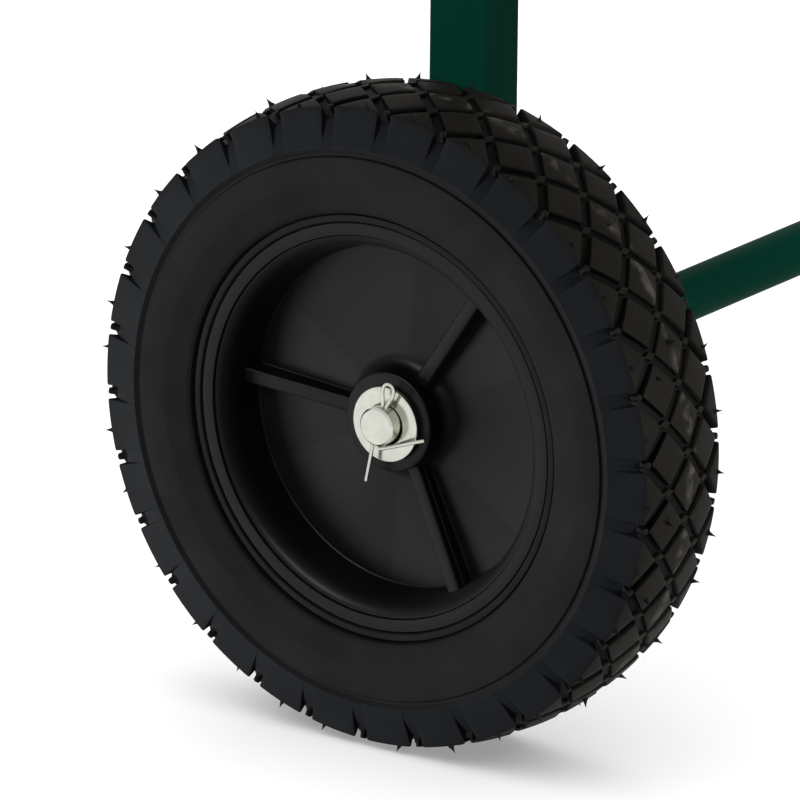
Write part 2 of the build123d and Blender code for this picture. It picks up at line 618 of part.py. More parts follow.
def make_frame():
    """Axle, tubes, board, handles and everything bolted to them."""
    pieces = {"axle": make_axle(), "transom_board": make_board()}
    axle_tube = bar_x(AXLE_TUBE_DIAMETER / 2, -UPRIGHT_INNER_X, UPRIGHT_INNER_X)
    axle_tube -= bar_x(AXLE_RADIUS + AXLE_HOLE_FIT, -UPRIGHT_INNER_X, UPRIGHT_INNER_X)
    pieces["axle_tube"] = Pos(0, AXLE_Y, AXLE_HEIGHT) * axle_tube
    cross = tube_x(CROSS_TUBE_DIAMETER / 2, UPRIGHT_INNER_X)
    pieces["upper_cross_tube"] = Pos(0, 0, UPPER_CROSS_HEIGHT) * cross
    for name, side in SIDES.items():
        pieces[f"{name}_upright"] = make_upright(side)
        foot = Pos(side * UPRIGHT_X, 0, AXLE_HEIGHT - UPRIGHT_BELOW_AXLE)
        pieces[f"{name}_upright_plug"] = foot * tube_plug(UPRIGHT_SIDE, UPRIGHT_PLUG_DEPTH)
        pieces[f"{name}_handle"] = make_handle(side)
        pieces[f"{name}_grip"] = make_grip(side)
        pieces[f"{name}_stay_hook"] = make_hook(side)
    for groups in (board_fasteners(), handle_fasteners(), pivot_fasteners()):
        pieces |= {name: Compound(children=solids) for name, solids in groups.items()}
    return pieces


def make_stand():
    """Folding stand with its feet, plugs and stays."""
    cross = Pos(0, 0, -LEG_CROSS_FROM_PIVOT) * tube_x(CROSS_TUBE_DIAMETER / 2, LEG_INNER_X)
    pieces = {"stand_cross_tube": stand_place() * cross}
    head = Pos(0, 0, LEG_ABOVE_PIVOT) * Rot(180, 0, 0)
    for name, side in SIDES.items():
        pieces[f"{name}_leg"] = make_leg(side)
        pieces[f"{name}_foot"] = make_foot(side)
        plug = Pos(side * LEG_X, 0, 0) * head * tube_plug(LEG_SIDE, LEG_PLUG_DEPTH)
        pieces[f"{name}_leg_plug"] = stand_place() * plug
        pieces[f"{name}_stay"] = make_stay(side)
        pieces[f"{name}_stay_stud"] = make_stay_stud(side)
    pieces |= {name: Compound(children=solids) for name, solids in stay_fasteners().items()}
    return pieces


def centred(pieces):
    """All pieces moved along Y so that the trolley's box is centred on the origin."""
    boxes = [piece.bounding_box() for piece in pieces.values()]
    middle = (min(box.min.Y for box in boxes) + max(box.max.Y for box in boxes)) / 2
    print(f"uprights at y = {-middle:.4f}")
    return {name: Pos(0, -middle, 0) * piece for name, piece in pieces.items()}


os.makedirs("parts", exist_ok=True)
for node, shape in centred(make_wheels() | make_frame() | make_stand()).items():
    export_step(shape, f"parts/{node}.step")
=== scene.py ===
"""Outboard motor trolley: dressed meshes, finishes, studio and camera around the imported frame.

Pieces are shaped in millimetres in frames of their own and placed in metres. X runs along the axle,
-Y is the front, where the motor hangs, and +Z is up.
"""
import json
import logging
import math
import random
from dataclasses import dataclass, field
from enum import Enum
from functools import reduce
from typing import Iterable, Sequence

import bmesh
import bpy
from mathutils import Matrix, Quaternion, Vector

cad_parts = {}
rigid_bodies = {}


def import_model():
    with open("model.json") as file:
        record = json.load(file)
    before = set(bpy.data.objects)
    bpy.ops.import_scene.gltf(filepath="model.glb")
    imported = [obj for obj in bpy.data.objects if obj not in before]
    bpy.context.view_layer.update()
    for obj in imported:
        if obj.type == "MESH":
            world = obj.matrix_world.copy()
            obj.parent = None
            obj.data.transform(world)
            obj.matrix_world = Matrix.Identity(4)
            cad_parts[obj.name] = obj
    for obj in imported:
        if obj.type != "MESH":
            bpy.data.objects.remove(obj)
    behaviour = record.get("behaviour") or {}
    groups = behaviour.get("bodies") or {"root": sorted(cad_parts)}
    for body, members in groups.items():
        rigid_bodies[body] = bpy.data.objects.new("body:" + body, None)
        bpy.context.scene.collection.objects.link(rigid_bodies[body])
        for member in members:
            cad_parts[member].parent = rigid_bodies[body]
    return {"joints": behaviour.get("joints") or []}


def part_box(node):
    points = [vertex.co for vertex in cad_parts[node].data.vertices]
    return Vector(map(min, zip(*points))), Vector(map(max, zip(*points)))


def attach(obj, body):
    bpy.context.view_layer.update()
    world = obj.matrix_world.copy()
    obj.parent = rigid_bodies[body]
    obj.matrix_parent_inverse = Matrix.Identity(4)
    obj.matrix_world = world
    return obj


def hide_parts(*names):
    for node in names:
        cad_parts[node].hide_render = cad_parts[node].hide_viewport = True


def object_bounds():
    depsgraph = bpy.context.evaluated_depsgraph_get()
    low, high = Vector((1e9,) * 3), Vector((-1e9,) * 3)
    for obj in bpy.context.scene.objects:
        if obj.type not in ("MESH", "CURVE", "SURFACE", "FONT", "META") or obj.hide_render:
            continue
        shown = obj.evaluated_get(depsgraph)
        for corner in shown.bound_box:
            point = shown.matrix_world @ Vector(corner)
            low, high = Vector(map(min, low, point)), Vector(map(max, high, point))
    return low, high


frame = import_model()
CAD_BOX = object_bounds()

LOG = logging.getLogger("trolley")
MM = 0.001
FULL_TURN = 2 * math.pi
DOUBLES = 0.002
CRISP_EDGE = 34.0
BEND_FACET = 12.0

Socket = bpy.types.NodeSocket
Sockets = bpy.types.NodeOutputs
Edges = list[bmesh.types.BMEdge]
Span = tuple[float, float]
Point = tuple[float, float]
Triple = tuple[float, float, float]
Corner = Triple
Colour = tuple[float, float, float, float]


class Side(Enum):
    """The trolley's two sides, by the sign of X."""

    LEFT = -1
    RIGHT = 1

    @property
    def word(self) -> str:
        """Name of the side in the nodes' names."""
        return self.name.lower()


@dataclass(frozen=True)
class Spot:
    """Where a CAD node lies at rest, in millimetres."""

    low: Vector
    high: Vector

    @classmethod
    def of(cls, node: str) -> "Spot":
        """Box of one CAD node."""
        low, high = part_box(node)
        return cls(low / MM, high / MM)

    @property
    def centre(self) -> Vector:
        """Middle of the box."""
        return (self.low + self.high) / 2

    @property
    def size(self) -> Vector:
        """Lengths of the box along X, Y and Z."""
        return self.high - self.low

    def on_axis(self, x: float) -> Vector:
        """Point at some X on the box's middle line."""
        return Vector((x, self.centre.y, self.centre.z))


def tone(red: int, green: int, blue: int) -> Colour:
    """Linear colour of a display colour.

    Args:
        red: Red from 0 to 255.
        green: Green from 0 to 255.
        blue: Blue from 0 to 255.

    Returns:
        The same colour in linear values with full alpha.
    """
    linear = []
    for value in (red, green, blue):
        part = value / 255
        linear.append(part / 12.92 if part <= 0.04045 else ((part + 0.055) / 1.055) ** 2.4)
    return (*linear, 1.0)


def rounded(corners: Sequence[Corner], closed: bool = False, segments: int = 4) -> list[Point]:
    """Polyline through corners with rounded turns.

    Args:
        corners: Corners as (first, second, rounding radius).
        closed: Whether the last corner joins the first.
        segments: Straight pieces in each rounding.

    Returns:
        The points of the polyline.
    """
    points: list[Point] = []
    count = len(corners)
    for index, (first, second, radius) in enumerate(corners):
        here = Vector((first, second))
        at_end = not closed and index in (0, count - 1)
        if at_end or radius <= 0:
            points.append((first, second))
            continue
        before = Vector(corners[index - 1][:2]) - here
        after = Vector(corners[(index + 1) % count][:2]) - here
        half = before.angle(after) / 2
        reach = min(radius / math.tan(half), before.length / 2, after.length / 2)
        inward = (before.normalized() + after.normalized()).normalized()
        middle = here + inward * (reach / math.cos(half))
        start = here + before.normalized() * reach - middle
        end = here + after.normalized() * reach - middle
        angle = math.atan2(start.y, start.x)
        sweep = (math.atan2(end.y, end.x) - angle + math.pi) % FULL_TURN - math.pi
        for step in range(segments + 1):
            way = angle + sweep * step / segments
            points.append((middle.x + start.length * math.cos(way), middle.y + start.length * math.sin(way)))
    return points


def placed(origin: Sequence[float], along: Sequence[float], across: Sequence[float]) -> Matrix:
    """Frame whose Z runs along one direction and whose X runs across it.

    Args:
        origin: Place of the frame in millimetres.
        along: Direction of the frame's Z.
        across: Direction of the frame's X.

    Returns:
        The matrix from that frame to the trolley's.
    """
    z_axis = Vector(along).normalized()
    x_axis = Vector(across).normalized()
    turn = Matrix((x_axis, z_axis.cross(x_axis), z_axis)).transposed()
    return Matrix.Translation(Vector(origin)) @ turn.to_4x4()


def outboard(side: Side, origin: Sequence[float]) -> Matrix:
    """Frame at a place whose Z points away from the trolley's middle."""
    return placed(origin, (side.value, 0, 0), (0, side.value, 0))


def both_sides(x: float, place: Vector) -> list[Matrix]:
    """Frames on both sides at a distance from the trolley's middle, to which their Z points."""
    spots = {side.value: (side.value * x, place.y, place.z) for side in Side}
    return [placed(spot, (-sign, 0, 0), (0, -sign, 0)) for sign, spot in spots.items()]


def sideways(origin: Sequence[float]) -> Matrix:
    """Frame at a place whose Z points to the right and whose X points to the back."""
    return placed(origin, (1, 0, 0), (0, 1, 0))


def verts_of(items: Iterable[object]) -> list[bmesh.types.BMVert]:
    """The vertices among some elements of a mesh."""
    return [item for item in items if isinstance(item, bmesh.types.BMVert)]


def edges_of(items: Iterable[object]) -> Edges:
    """The edges among some elements of a mesh."""
    return [item for item in items if isinstance(item, bmesh.types.BMEdge)]


class Shape:
    """One piece in the making: a mesh in millimetres, in a frame of its own."""

    def __init__(self) -> None:
        """Start with nothing."""
        self.bm = bmesh.new()

    def tidy(self) -> "Shape":
        """Merge doubles and turn the faces outwards.

        Returns:
            This shape.
        """
        bmesh.ops.remove_doubles(self.bm, verts=self.bm.verts, dist=DOUBLES)
        bmesh.ops.recalc_face_normals(self.bm, faces=self.bm.faces)
        return self

    def turn(self, profile: Sequence[Point], steps: int = 48, closed: bool = False) -> "Shape":
        """Spin a profile about Z.

        Args:
            profile: Points as (radius, height).
            steps: Faces round the axis.
            closed: Whether the last point joins the first.

        Returns:
            This shape.
        """
        verts = [self.bm.verts.new((radius, 0, height)) for radius, height in profile]
        ring = verts + verts[:1] if closed else verts
        edges = [self.bm.edges.new(pair) for pair in zip(ring, ring[1:])]
        bmesh.ops.spin(
            self.bm, geom=verts + edges, cent=(0, 0, 0), axis=(0, 0, 1), dvec=(0, 0, 0),
            angle=FULL_TURN, steps=steps, use_merge=True, use_normal_flip=False, use_duplicate=False,
        )
        return self.tidy()

    def flat(self, outline: Sequence[Point], height: float) -> bmesh.types.BMFace:
        """Add a flat face at a height."""
        return self.bm.faces.new([self.bm.verts.new((x, y, height)) for x, y in outline])

    def grow(self, faces: Sequence[bmesh.types.BMFace], height: float) -> "Shape":
        """Extrude flat faces upwards.

        Args:
            faces: Faces to extrude.
            height: How far they go up.

        Returns:
            This shape.
        """
        grown = bmesh.ops.extrude_face_region(self.bm, geom=list(faces))["geom"]
        bmesh.ops.translate(self.bm, verts=verts_of(grown), vec=(0, 0, height))
        return self.tidy()

    def prism(self, outline: Sequence[Point], low: float, high: float) -> "Shape":
        """Extrude an outline in XY between two heights."""
        return self.grow([self.flat(outline, low)], high - low)

    def tube(self, outline: Sequence[Point], wall: float, low: float, high: float) -> "Shape":
        """Extrude a hollow section between two heights.

        Args:
            outline: Outside of the section.
            wall: Thickness of the wall.
            low: Height of its foot.
            high: Height of its top.

        Returns:
            This shape.
        """
        base = self.flat(outline, low)
        ring = bmesh.ops.inset_region(
            self.bm, faces=[base], thickness=wall, use_boundary=True, use_even_offset=True
        )["faces"]
        bmesh.ops.delete(self.bm, geom=[base], context="FACES_ONLY")
        return self.grow(ring, high - low)

    def taper(self, height: float, inset: float, rise: float) -> "Shape":
        """Raise the flat top at a height and draw it in on all sides.

        Args:
            height: Height of the top.
            inset: How far its sides are drawn in.
            rise: How far it goes up.

        Returns:
            This shape.
        """
        top = [face for face in self.bm.faces if all(abs(v.co.z - height) < DOUBLES for v in face.verts)]
        bmesh.ops.inset_region(
            self.bm, faces=top, thickness=inset, depth=rise, use_boundary=True, use_even_offset=True
        )
        return self

    def bar(
        self, corners: Sequence[Vector], bends: Sequence[float], radius: float, sides: int
    ) -> "Shape":
        """Round bar with straight runs and tangent bends.

        Args:
            corners: Ends and corners of its middle line.
            bends: Radius of the bend at each inner corner.
            radius: Radius of the bar.
            sides: Faces round the bar.

        Returns:
            This shape.
        """
        way = (corners[1] - corners[0]).normalized()
        start = Matrix.Translation(corners[0]) @ way.to_track_quat("Z", "Y").to_matrix().to_4x4()
        bmesh.ops.create_circle(self.bm, cap_ends=True, radius=radius, segments=sides, matrix=start)
        ring = list(self.bm.edges)
        here = corners[0]
        for corner, after, bend in zip(corners[1:-1], corners[2:], bends):
            onward = (after - corner).normalized()
            angle = way.angle(onward)
            tangent = corner - way * (bend * math.tan(angle / 2))
            ring = self.run(ring, tangent - here)
            centre = tangent + (onward - way * onward.dot(way)).normalized() * bend
            steps = max(2, round(math.degrees(angle) / BEND_FACET))
            turned = bmesh.ops.spin(
                self.bm, geom=ring, cent=centre, axis=way.cross(onward).normalized(), dvec=(0, 0, 0),
                angle=angle, steps=steps, use_merge=False, use_normal_flip=False, use_duplicate=False,
            )["geom_last"]
            ring = edges_of(turned)
            here = corner + onward * (bend * math.tan(angle / 2))
            way = onward
        ring = self.run(ring, corners[-1] - here)
        bmesh.ops.edgeloop_fill(self.bm, edges=ring)
        return self.tidy()

    def run(self, ring: Edges, step: Vector) -> Edges:
        """Draw a ring of edges out along a straight step.

        Args:
            ring: Edges to draw out.
            step: How far they go.

        Returns:
            The edges at the far end.
        """
        grown = bmesh.ops.extrude_edge_only(self.bm, edges=list(ring))["geom"]
        ends = set(verts_of(grown))
        bmesh.ops.translate(self.bm, verts=list(ends), vec=step)
        return [edge for edge in edges_of(grown) if set(edge.verts) <= ends]

    def soften(self, edges: Edges, radius: float, segments: int = 2) -> "Shape":
        """Round some edges.

        Args:
            edges: Edges to round.
            radius: Radius of the rounding.
            segments: Faces across it.

        Returns:
            This shape.
        """
        bmesh.ops.bevel(
            self.bm, geom=list(edges), offset=radius, offset_type="OFFSET", affect="EDGES",
            segments=segments, profile=0.5, material=-1, clamp_overlap=True,
        )
        return self

    def sharp(self, degrees: float) -> Edges:
        """Edges that turn by more than an angle."""
        limit = math.radians(degrees)
        return [edge for edge in self.bm.edges if edge.calc_face_angle(0) > limit]

    def level(self, height: float) -> Edges:
        """Edges that lie at one height."""
        return [edge for edge in self.bm.edges if all(abs(v.co.z - height) < DOUBLES for v in edge.verts)]

    def cut(self, place: Sequence[float], normal: Sequence[float], keep_all: bool = True) -> "Shape":
        """Cut with a plane.

        Args:
            place: A point of the plane.
            normal: Direction in which the plane faces.
            keep_all: Whether both sides stay; otherwise the side that the plane faces goes.

        Returns:
            This shape.
        """
        everything = self.bm.verts[:] + self.bm.edges[:] + self.bm.faces[:]
        made = bmesh.ops.bisect_plane(
            self.bm, geom=everything, dist=DOUBLES, plane_co=place, plane_no=normal, clear_outer=not keep_all
        )["geom_cut"]
        if not keep_all:
            bmesh.ops.edgenet_fill(self.bm, edges=edges_of(made))
        return self

    def join(self, other: "Shape", matrix: Matrix = Matrix.Identity(4)) -> "Shape":
        """Add a copy of another shape.

        Args:
            other: Shape to copy.
            matrix: Where the copy goes.

        Returns:
            This shape.
        """
        loose = bpy.data.meshes.new("loose")
        other.bm.to_mesh(loose)
        loose.transform(matrix)
        self.bm.from_mesh(loose)
        bpy.data.meshes.remove(loose)
        return self

    def move(self, matrix: Matrix) -> "Shape":
        """Move the whole shape."""
        bmesh.ops.transform(self.bm, matrix=matrix, verts=self.bm.verts)
        return self

    def piece(self, name: str, body: str, finish: "Finish", nodes: Sequence[str] = ()) -> None:
        """Make the shape an object of the scene.

        Args:
            name: Name of the object.
            body: Body that it rides on.
            finish: Its finish, whose material the piece gets.
            nodes: CAD nodes that it stands for.
        """
        self.move(Matrix.Scale(MM, 4))
        mesh = bpy.data.meshes.new(name)
        self.bm.to_mesh(mesh)
        self.bm.free()
        mesh.shade_smooth()
        mesh.set_sharp_from_angle(angle=math.radians(CRISP_EDGE))
        mesh.materials.append(finish.material())
        made = bpy.data.objects.new(name, mesh)
        bpy.context.scene.collection.objects.link(made)
        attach(made, body)
        if nodes:
            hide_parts(*nodes)
        LOG.info("%s on %s: %d faces", name, body, len(mesh.polygons))


class Graph:
    """Adds nodes to one shader tree and links them."""

    blend_inputs: tuple[int, ...] = (0, 6, 7)
    blend_output: int = 2

    def __init__(self, tree: bpy.types.NodeTree) -> None:
        """Work on one tree."""
        self.tree = tree

    def feed(self, socket: Socket, value: object) -> None:
        """Link a socket to another, or set its value.

        Args:
            socket: The input.
            value: The other socket, or a value.
        """
        if isinstance(value, Socket):
            self.tree.links.new(value, socket)
        else:
            socket.default_value = value

    def node(self, kind: str, inputs: dict[str, object], **settings: object) -> bpy.types.Node:
        """Add one node.

        Args:
            kind: Its type without the common first word.
            inputs: Values or sockets by the name of the input.
            settings: Its other properties.

        Returns:
            The node.
        """
        made = self.tree.nodes.new(f"ShaderNode{kind}")
        for name, value in settings.items():
            setattr(made, name, value)
        for name, value in inputs.items():
            self.feed(made.inputs[name], value)
        return made

    def sum(self, operation: str, *values: object) -> Socket:
        """Result of one sum.

        Args:
            operation: Name of the sum.
            values: Numbers or sockets.

        Returns:
            The socket with the result.
        """
        made = self.tree.nodes.new("ShaderNodeMath")
        made.operation = operation
        for socket, value in zip(made.inputs, values):
            self.feed(socket, value)
        return made.outputs[0]

    def fold(self, operation: str, *values: object) -> Socket:
        """Result of one sum, taken in turn over numbers or sockets."""
        return reduce(lambda first, second: self.sum(operation, first, second), values)

    def product(self, *factors: object) -> Socket:
        """Product of numbers or sockets."""
        return self.fold("MULTIPLY", *factors)

    def step(self, value: object, low: float, high: float, first: float = 0, last: float = 1) -> Socket:
        """Smooth step of a value from low to high, with the results before and after it."""
        inputs = {"Value": value, "From Min": low, "From Max": high, "To Min": first, "To Max": last}
        return self.node("MapRange", inputs, interpolation_type="SMOOTHSTEP").outputs["Result"]

    def zone(self, place: Socket, span: Span) -> Socket:
        """Smooth step of a place between two places in millimetres."""
        return self.step(place, span[0] * MM, span[1] * MM)

    def between(self, share: Socket, span: Span) -> Socket:
        """Value between two others, by a share from 0 to 1."""
        return self.step(share, 0, 1, *span)

    def blend(self, amount: object, first: object, second: object, way: str = "MIX") -> Socket:
        """Blend of two colours.

        Args:
            amount: Share of the second colour.
            first: First colour.
            second: Second colour.
            way: Name of the blend.

        Returns:
            The socket with the colour.
        """
        made = self.tree.nodes.new("ShaderNodeMix")
        made.data_type = "RGBA"
        made.blend_type = way
        for index, value in zip(self.blend_inputs, (amount, first, second)):
            self.feed(made.inputs[index], value)
        return made.outputs[self.blend_output]

    def place(self) -> Socket:
        """Place on the trolley in metres."""
        return self.node("TexCoord", {}).outputs["Object"]

    def noise(
        self, scale: object, spread: Triple = (1, 1, 1), place: Socket | None = None, detail: int = 2
    ) -> Socket:
        """Noise over the trolley's own place, or over another.

        Args:
            scale: Lumps per metre.
            spread: Scale along X, Y and Z, which draws the noise out where it is small.
            place: Place that is read instead of the trolley's own.
            detail: Finer layers in the noise.

        Returns:
            The socket with a value near one half.
        """
        start = self.place() if place is None else place
        vector = self.node("Mapping", {"Vector": start, "Scale": spread}).outputs["Vector"]
        return self.node("TexNoise", {"Vector": vector, "Scale": scale, "Detail": detail}).outputs["Fac"]

    def effect(self, effect: "Effect", inputs: dict[str, object]) -> Sockets:
        """Outputs of a shared effect, from values or sockets by the name of its input."""
        return self.node("Group", inputs, node_tree=effect.tree()).outputs


class Effect:
    """Shader node group that several finishes share."""

    name: str = ""
    inputs: tuple[str, ...] = ()
    outputs: tuple[str, ...] = ()

    def tree(self) -> bpy.types.NodeTree:
        """The node group.

        Returns:
            Its tree, made on its first use.
        """
        made = bpy.data.node_groups.get(self.name)
        if made:
            return made
        made = bpy.data.node_groups.new(self.name, "ShaderNodeTree")
        for name in self.inputs:
            made.interface.new_socket(name=name, in_out="INPUT", socket_type="NodeSocketFloat")
        for name in self.outputs:
            made.interface.new_socket(name=name, in_out="OUTPUT", socket_type="NodeSocketFloat")
        given = made.nodes.new("NodeGroupInput")
        wanted = made.nodes.new("NodeGroupOutput")
        graph = Graph(made)
        for name, value in self.wire(graph, given.outputs).items():
            graph.feed(wanted.inputs[name], value)
        return made

    def wire(self, graph: Graph, given: Sockets) -> dict[str, Socket]:
        """Build the group's nodes.

        Args:
            graph: The group's tree.
            given: Its input sockets.

        Returns:
            A socket for each output.
        """
        raise NotImplementedError


class WheelPlace(Effect):
    """Distance from the axle, angle about it, and distance from the wheel's middle plane."""

    name = "wheel_place"
    inputs = ("Wheel X", "Axle Y", "Axle Z")
    outputs = ("Radius", "Angle", "Aside")

    def wire(self, graph: Graph, given: Sockets) -> dict[str, Socket]:
        """Polar place about the axle of whichever wheel is nearer; Aside is positive outboard.

        Args:
            graph: The group's tree.
            given: Its input sockets.

        Returns:
            A socket for each output.
        """
        split = graph.node("SeparateXYZ", {"Vector": graph.place()}).outputs
        forward = graph.sum("SUBTRACT", split["Y"], given["Axle Y"])
        rise = graph.sum("SUBTRACT", split["Z"], given["Axle Z"])
        square = graph.sum("ADD", graph.sum("MULTIPLY", forward, forward), graph.sum("MULTIPLY", rise, rise))
        return {
            "Radius": graph.sum("SQRT", square),
            "Angle": graph.sum("ARCTAN2", rise, forward),
            "Aside": graph.sum("SUBTRACT", graph.sum("ABSOLUTE", split["X"]), given["Wheel X"]),
        }


class MouldGrain(Effect):
    """Cloudy mottle and fine grain of a moulded or coated surface."""

    name = "mould_grain"
    inputs = ("Cloud Scale", "Grain Scale")
    outputs = ("Mottle", "Grain")

    cloud_range: Span = (0.3, 0.7)

    def wire(self, graph: Graph, given: Sockets) -> dict[str, Socket]:
        """Two noises, one broad and one fine."""
        mottle = graph.step(graph.noise(given["Cloud Scale"], detail=4), *self.cloud_range)
        return {"Mottle": mottle, "Grain": graph.noise(given["Grain Scale"])}


class Scratches(Effect):
    """Fine scratches that run in two ways across a surface."""

    name = "scratches"
    inputs = ("Scale",)
    outputs = ("Mask",)
    flat: Triple = (0.12, 1, 1)
    steep: Triple = (1, 1, 0.1)
    crest: Span = (0.64, 0.72)

    def wire(self, graph: Graph, given: Sockets) -> dict[str, Socket]:
        """Crests of two drawn-out noises."""
        noises = [graph.noise(given["Scale"], way) for way in (self.flat, self.steep)]
        return {"Mask": graph.sum("MAXIMUM", *(graph.step(noise, *self.crest) for noise in noises))}


@dataclass(frozen=True)
class Look:
    """Colour, roughness and height of the bump that a finish feeds to its shader."""

    colour: Socket
    gloss: Socket
    height: Socket


@dataclass(frozen=True)
class Finish:
    """A surface finish: its material is made on its first use.

    The bump is given as its strength and its depth in millimetres.
    """

    name: str
    slot: str
    roughness: Span = (0.5, 0.64)
    bump: Span = (0.3, 0.15)
    specular: float = 0.1
    metallic: float = 0.0

    def material(self) -> bpy.types.Material:
        """The material of this finish.

        Returns:
            It, made on the first use.
        """
        made = bpy.data.materials.get(self.name)
        if made:
            return made
        made = bpy.data.materials.new(self.name)
        made.use_nodes = True
        graph = Graph(made.node_tree)
        look = self.look(graph)
        strength, depth = self.bump
        bump = graph.node("Bump", {"Height": look.height, "Strength": strength, "Distance": depth * MM})
        inputs = {
            "Base Color": look.colour, "Roughness": look.gloss, "Normal": bump.outputs["Normal"],
            "Specular IOR Level": self.specular, "Metallic": self.metallic,
        }
        shader = made.node_tree.nodes["Principled BSDF"]
        for name, value in inputs.items():
            graph.feed(shader.inputs[name], value)
        return made

    def look(self, graph: Graph) -> Look:
        """What the shader is fed, made with nodes of the material's tree."""
        raise NotImplementedError


@dataclass(frozen=True)
class GrainedFinish(Finish):
    """Finish with a cloudy mottle and a fine grain, whose scales count lumps per metre."""

    cloud_scale: float = 80.0
    grain_scale: float = 1400.0

    def texture(self, graph: Graph) -> Sockets:
        """Mottle and grain of the surface."""
        scales = {"Cloud Scale": self.cloud_scale, "Grain Scale": self.grain_scale}
        return graph.effect(MouldGrain(), scales)


@dataclass(frozen=True)
class WheelFinish(GrainedFinish):
    """Finish that knows where the wheels turn."""

    def polar(self, graph: Graph) -> Sockets:
        """Polar place about the axle."""
        axle = Spot.of("right_tyre").centre * MM
        return graph.effect(WheelPlace(), {"Wheel X": axle.x, "Axle Y": axle.y, "Axle Z": axle.z})


@dataclass(frozen=True)
class TyreRubber(WheelFinish):
    """Moulded tyre rubber: a smooth wall, lug sides in a lighter, bluer colour that is a painted sheen, and
    a browner tread with painted shade deep in its grooves and pale scuff marks that are partly a painted
    sheen.

    Lengths are in millimetres, and a span is the stretch over which one zone gives way to the next.
    """

    roughness: Span = (0.6, 0.57)
    bump: Span = (0.2, 0.12)
    specular: float = 0.04
    cloud_scale: float = 55.0
    grain_scale: float = 1500.0
    wall: Colour = tone(20, 20, 20)
    # Painted sheen: the lug sides are a lighter, bluer copy of the wall's rubber.
    lug_side: Colour = tone(24, 26, 29)
    tread: Colour = tone(24, 22, 19)
    # Painted shade: a darker colour deep in the grooves, where shade falls.
    groove: Colour = tone(11, 10, 9)
    # Partly real scuff marks and flash, partly a painted sheen: a paler colour on the middle row of blocks.
    scuffed: Colour = tone(84, 81, 73)
    mottle: Span = (0.9, 1.1)
    shoulder_aside: Span = (19.3, 19.6)
    shoulder_radius: Span = (97.2, 96.4)
    lug_foot: Span = (85.4, 86.6)
    # Depths below the crown over which the painted groove shade comes in.
    groove_depth: Span = (0.4, 1.3)
    crown_fall: float = 6.43
    ring_step: float = 0.9
    ring_height: float = 0.05
    scuff_radius: Span = (101.25, 101.35)
    scuff_line: float = 1.1
    scuff_width: Span = (3.6, 0.3)
    rolling_radius: float = 100.0
    hair_scale: float = 1500.0
    hair_stretch: Triple = (0.09, 1, 1)
    hair_range: Span = (0.35, 0.65)
    hair_least: float = 0.3
    patch_scale: float = 170.0
    patch_stretch: Triple = (1, 0.8, 1)
    patch_range: Span = (0.42, 0.62)

    def look(self, graph: Graph) -> Look:
        """Colour by zone, with mottle, faint rings on the wall, a painted sheen on the lug sides, painted
        shade deep in the grooves, and scuff marks on the middle of the tread that are partly a painted
        sheen.

        Args:
            graph: The material's tree.

        Returns:
            What the shader is fed.
        """
        polar = self.polar(graph)
        radius = polar["Radius"]
        aside = graph.sum("ABSOLUTE", polar["Aside"])
        edges = (graph.zone(aside, self.shoulder_aside), graph.zone(radius, self.shoulder_radius))
        wall = graph.sum("MAXIMUM", *edges)
        # Mask of the lug sides, which take the painted sheen.
        lug = graph.product(wall, graph.zone(radius, self.lug_foot))
        # Painted shade: the further a point lies below the crown, the darker its colour, as shade in the
        # grooves.
        outside = Spot.of("right_tyre").size.z / 2 * MM
        crown = graph.sum("SUBTRACT", outside, graph.product(aside, aside, self.crown_fall))
        sunk = graph.sum("SUBTRACT", crown, radius)
        colour = graph.blend(graph.zone(sunk, self.groove_depth), self.tread, self.groove)
        colour = graph.blend(wall, colour, self.wall)
        # Painted sheen: the lighter, bluer colour goes on the lug sides.
        colour = graph.blend(lug, colour, self.lug_side)
        # Scuff marks and painted sheen: pale streaks in patches on the middle row of blocks.
        colour = graph.blend(self.scuffs(graph, polar), colour, self.scuffed)
        grain = self.texture(graph)
        rings = graph.sum("SINE", graph.product(radius, FULL_TURN / (self.ring_step * MM)))
        return Look(
            colour=graph.blend(1.0, colour, graph.between(grain["Mottle"], self.mottle), "MULTIPLY"),
            gloss=graph.between(grain["Mottle"], self.roughness),
            height=graph.sum("ADD", grain["Grain"], graph.product(rings, wall, self.ring_height)),
        )

    def scuffs(self, graph: Graph, polar: Sockets) -> Socket:
        """Mask of the scuff marks and painted sheen: pale hairlines round the tyre, in patches on the middle
        row of blocks, partly scuff marks and flash and partly a painted sheen.

        Args:
            graph: The material's tree.
            polar: Polar place about the axle.

        Returns:
            The socket with the mask.
        """
        along = graph.product(polar["Angle"], self.rolling_radius * MM)
        rolled = graph.node("CombineXYZ", {"X": along, "Y": polar["Aside"]}).outputs["Vector"]
        hairs = graph.noise(self.hair_scale, self.hair_stretch, rolled)
        patches = graph.noise(self.patch_scale, self.patch_stretch, rolled)
        off_line = graph.sum("ABSOLUTE", graph.sum("ADD", polar["Aside"], self.scuff_line * MM))
        return graph.product(
            graph.zone(polar["Radius"], self.scuff_radius),
            graph.zone(off_line, self.scuff_width),
            graph.step(hairs, *self.hair_range, self.hair_least, 1),
            graph.step(patches, *self.patch_range),
        )


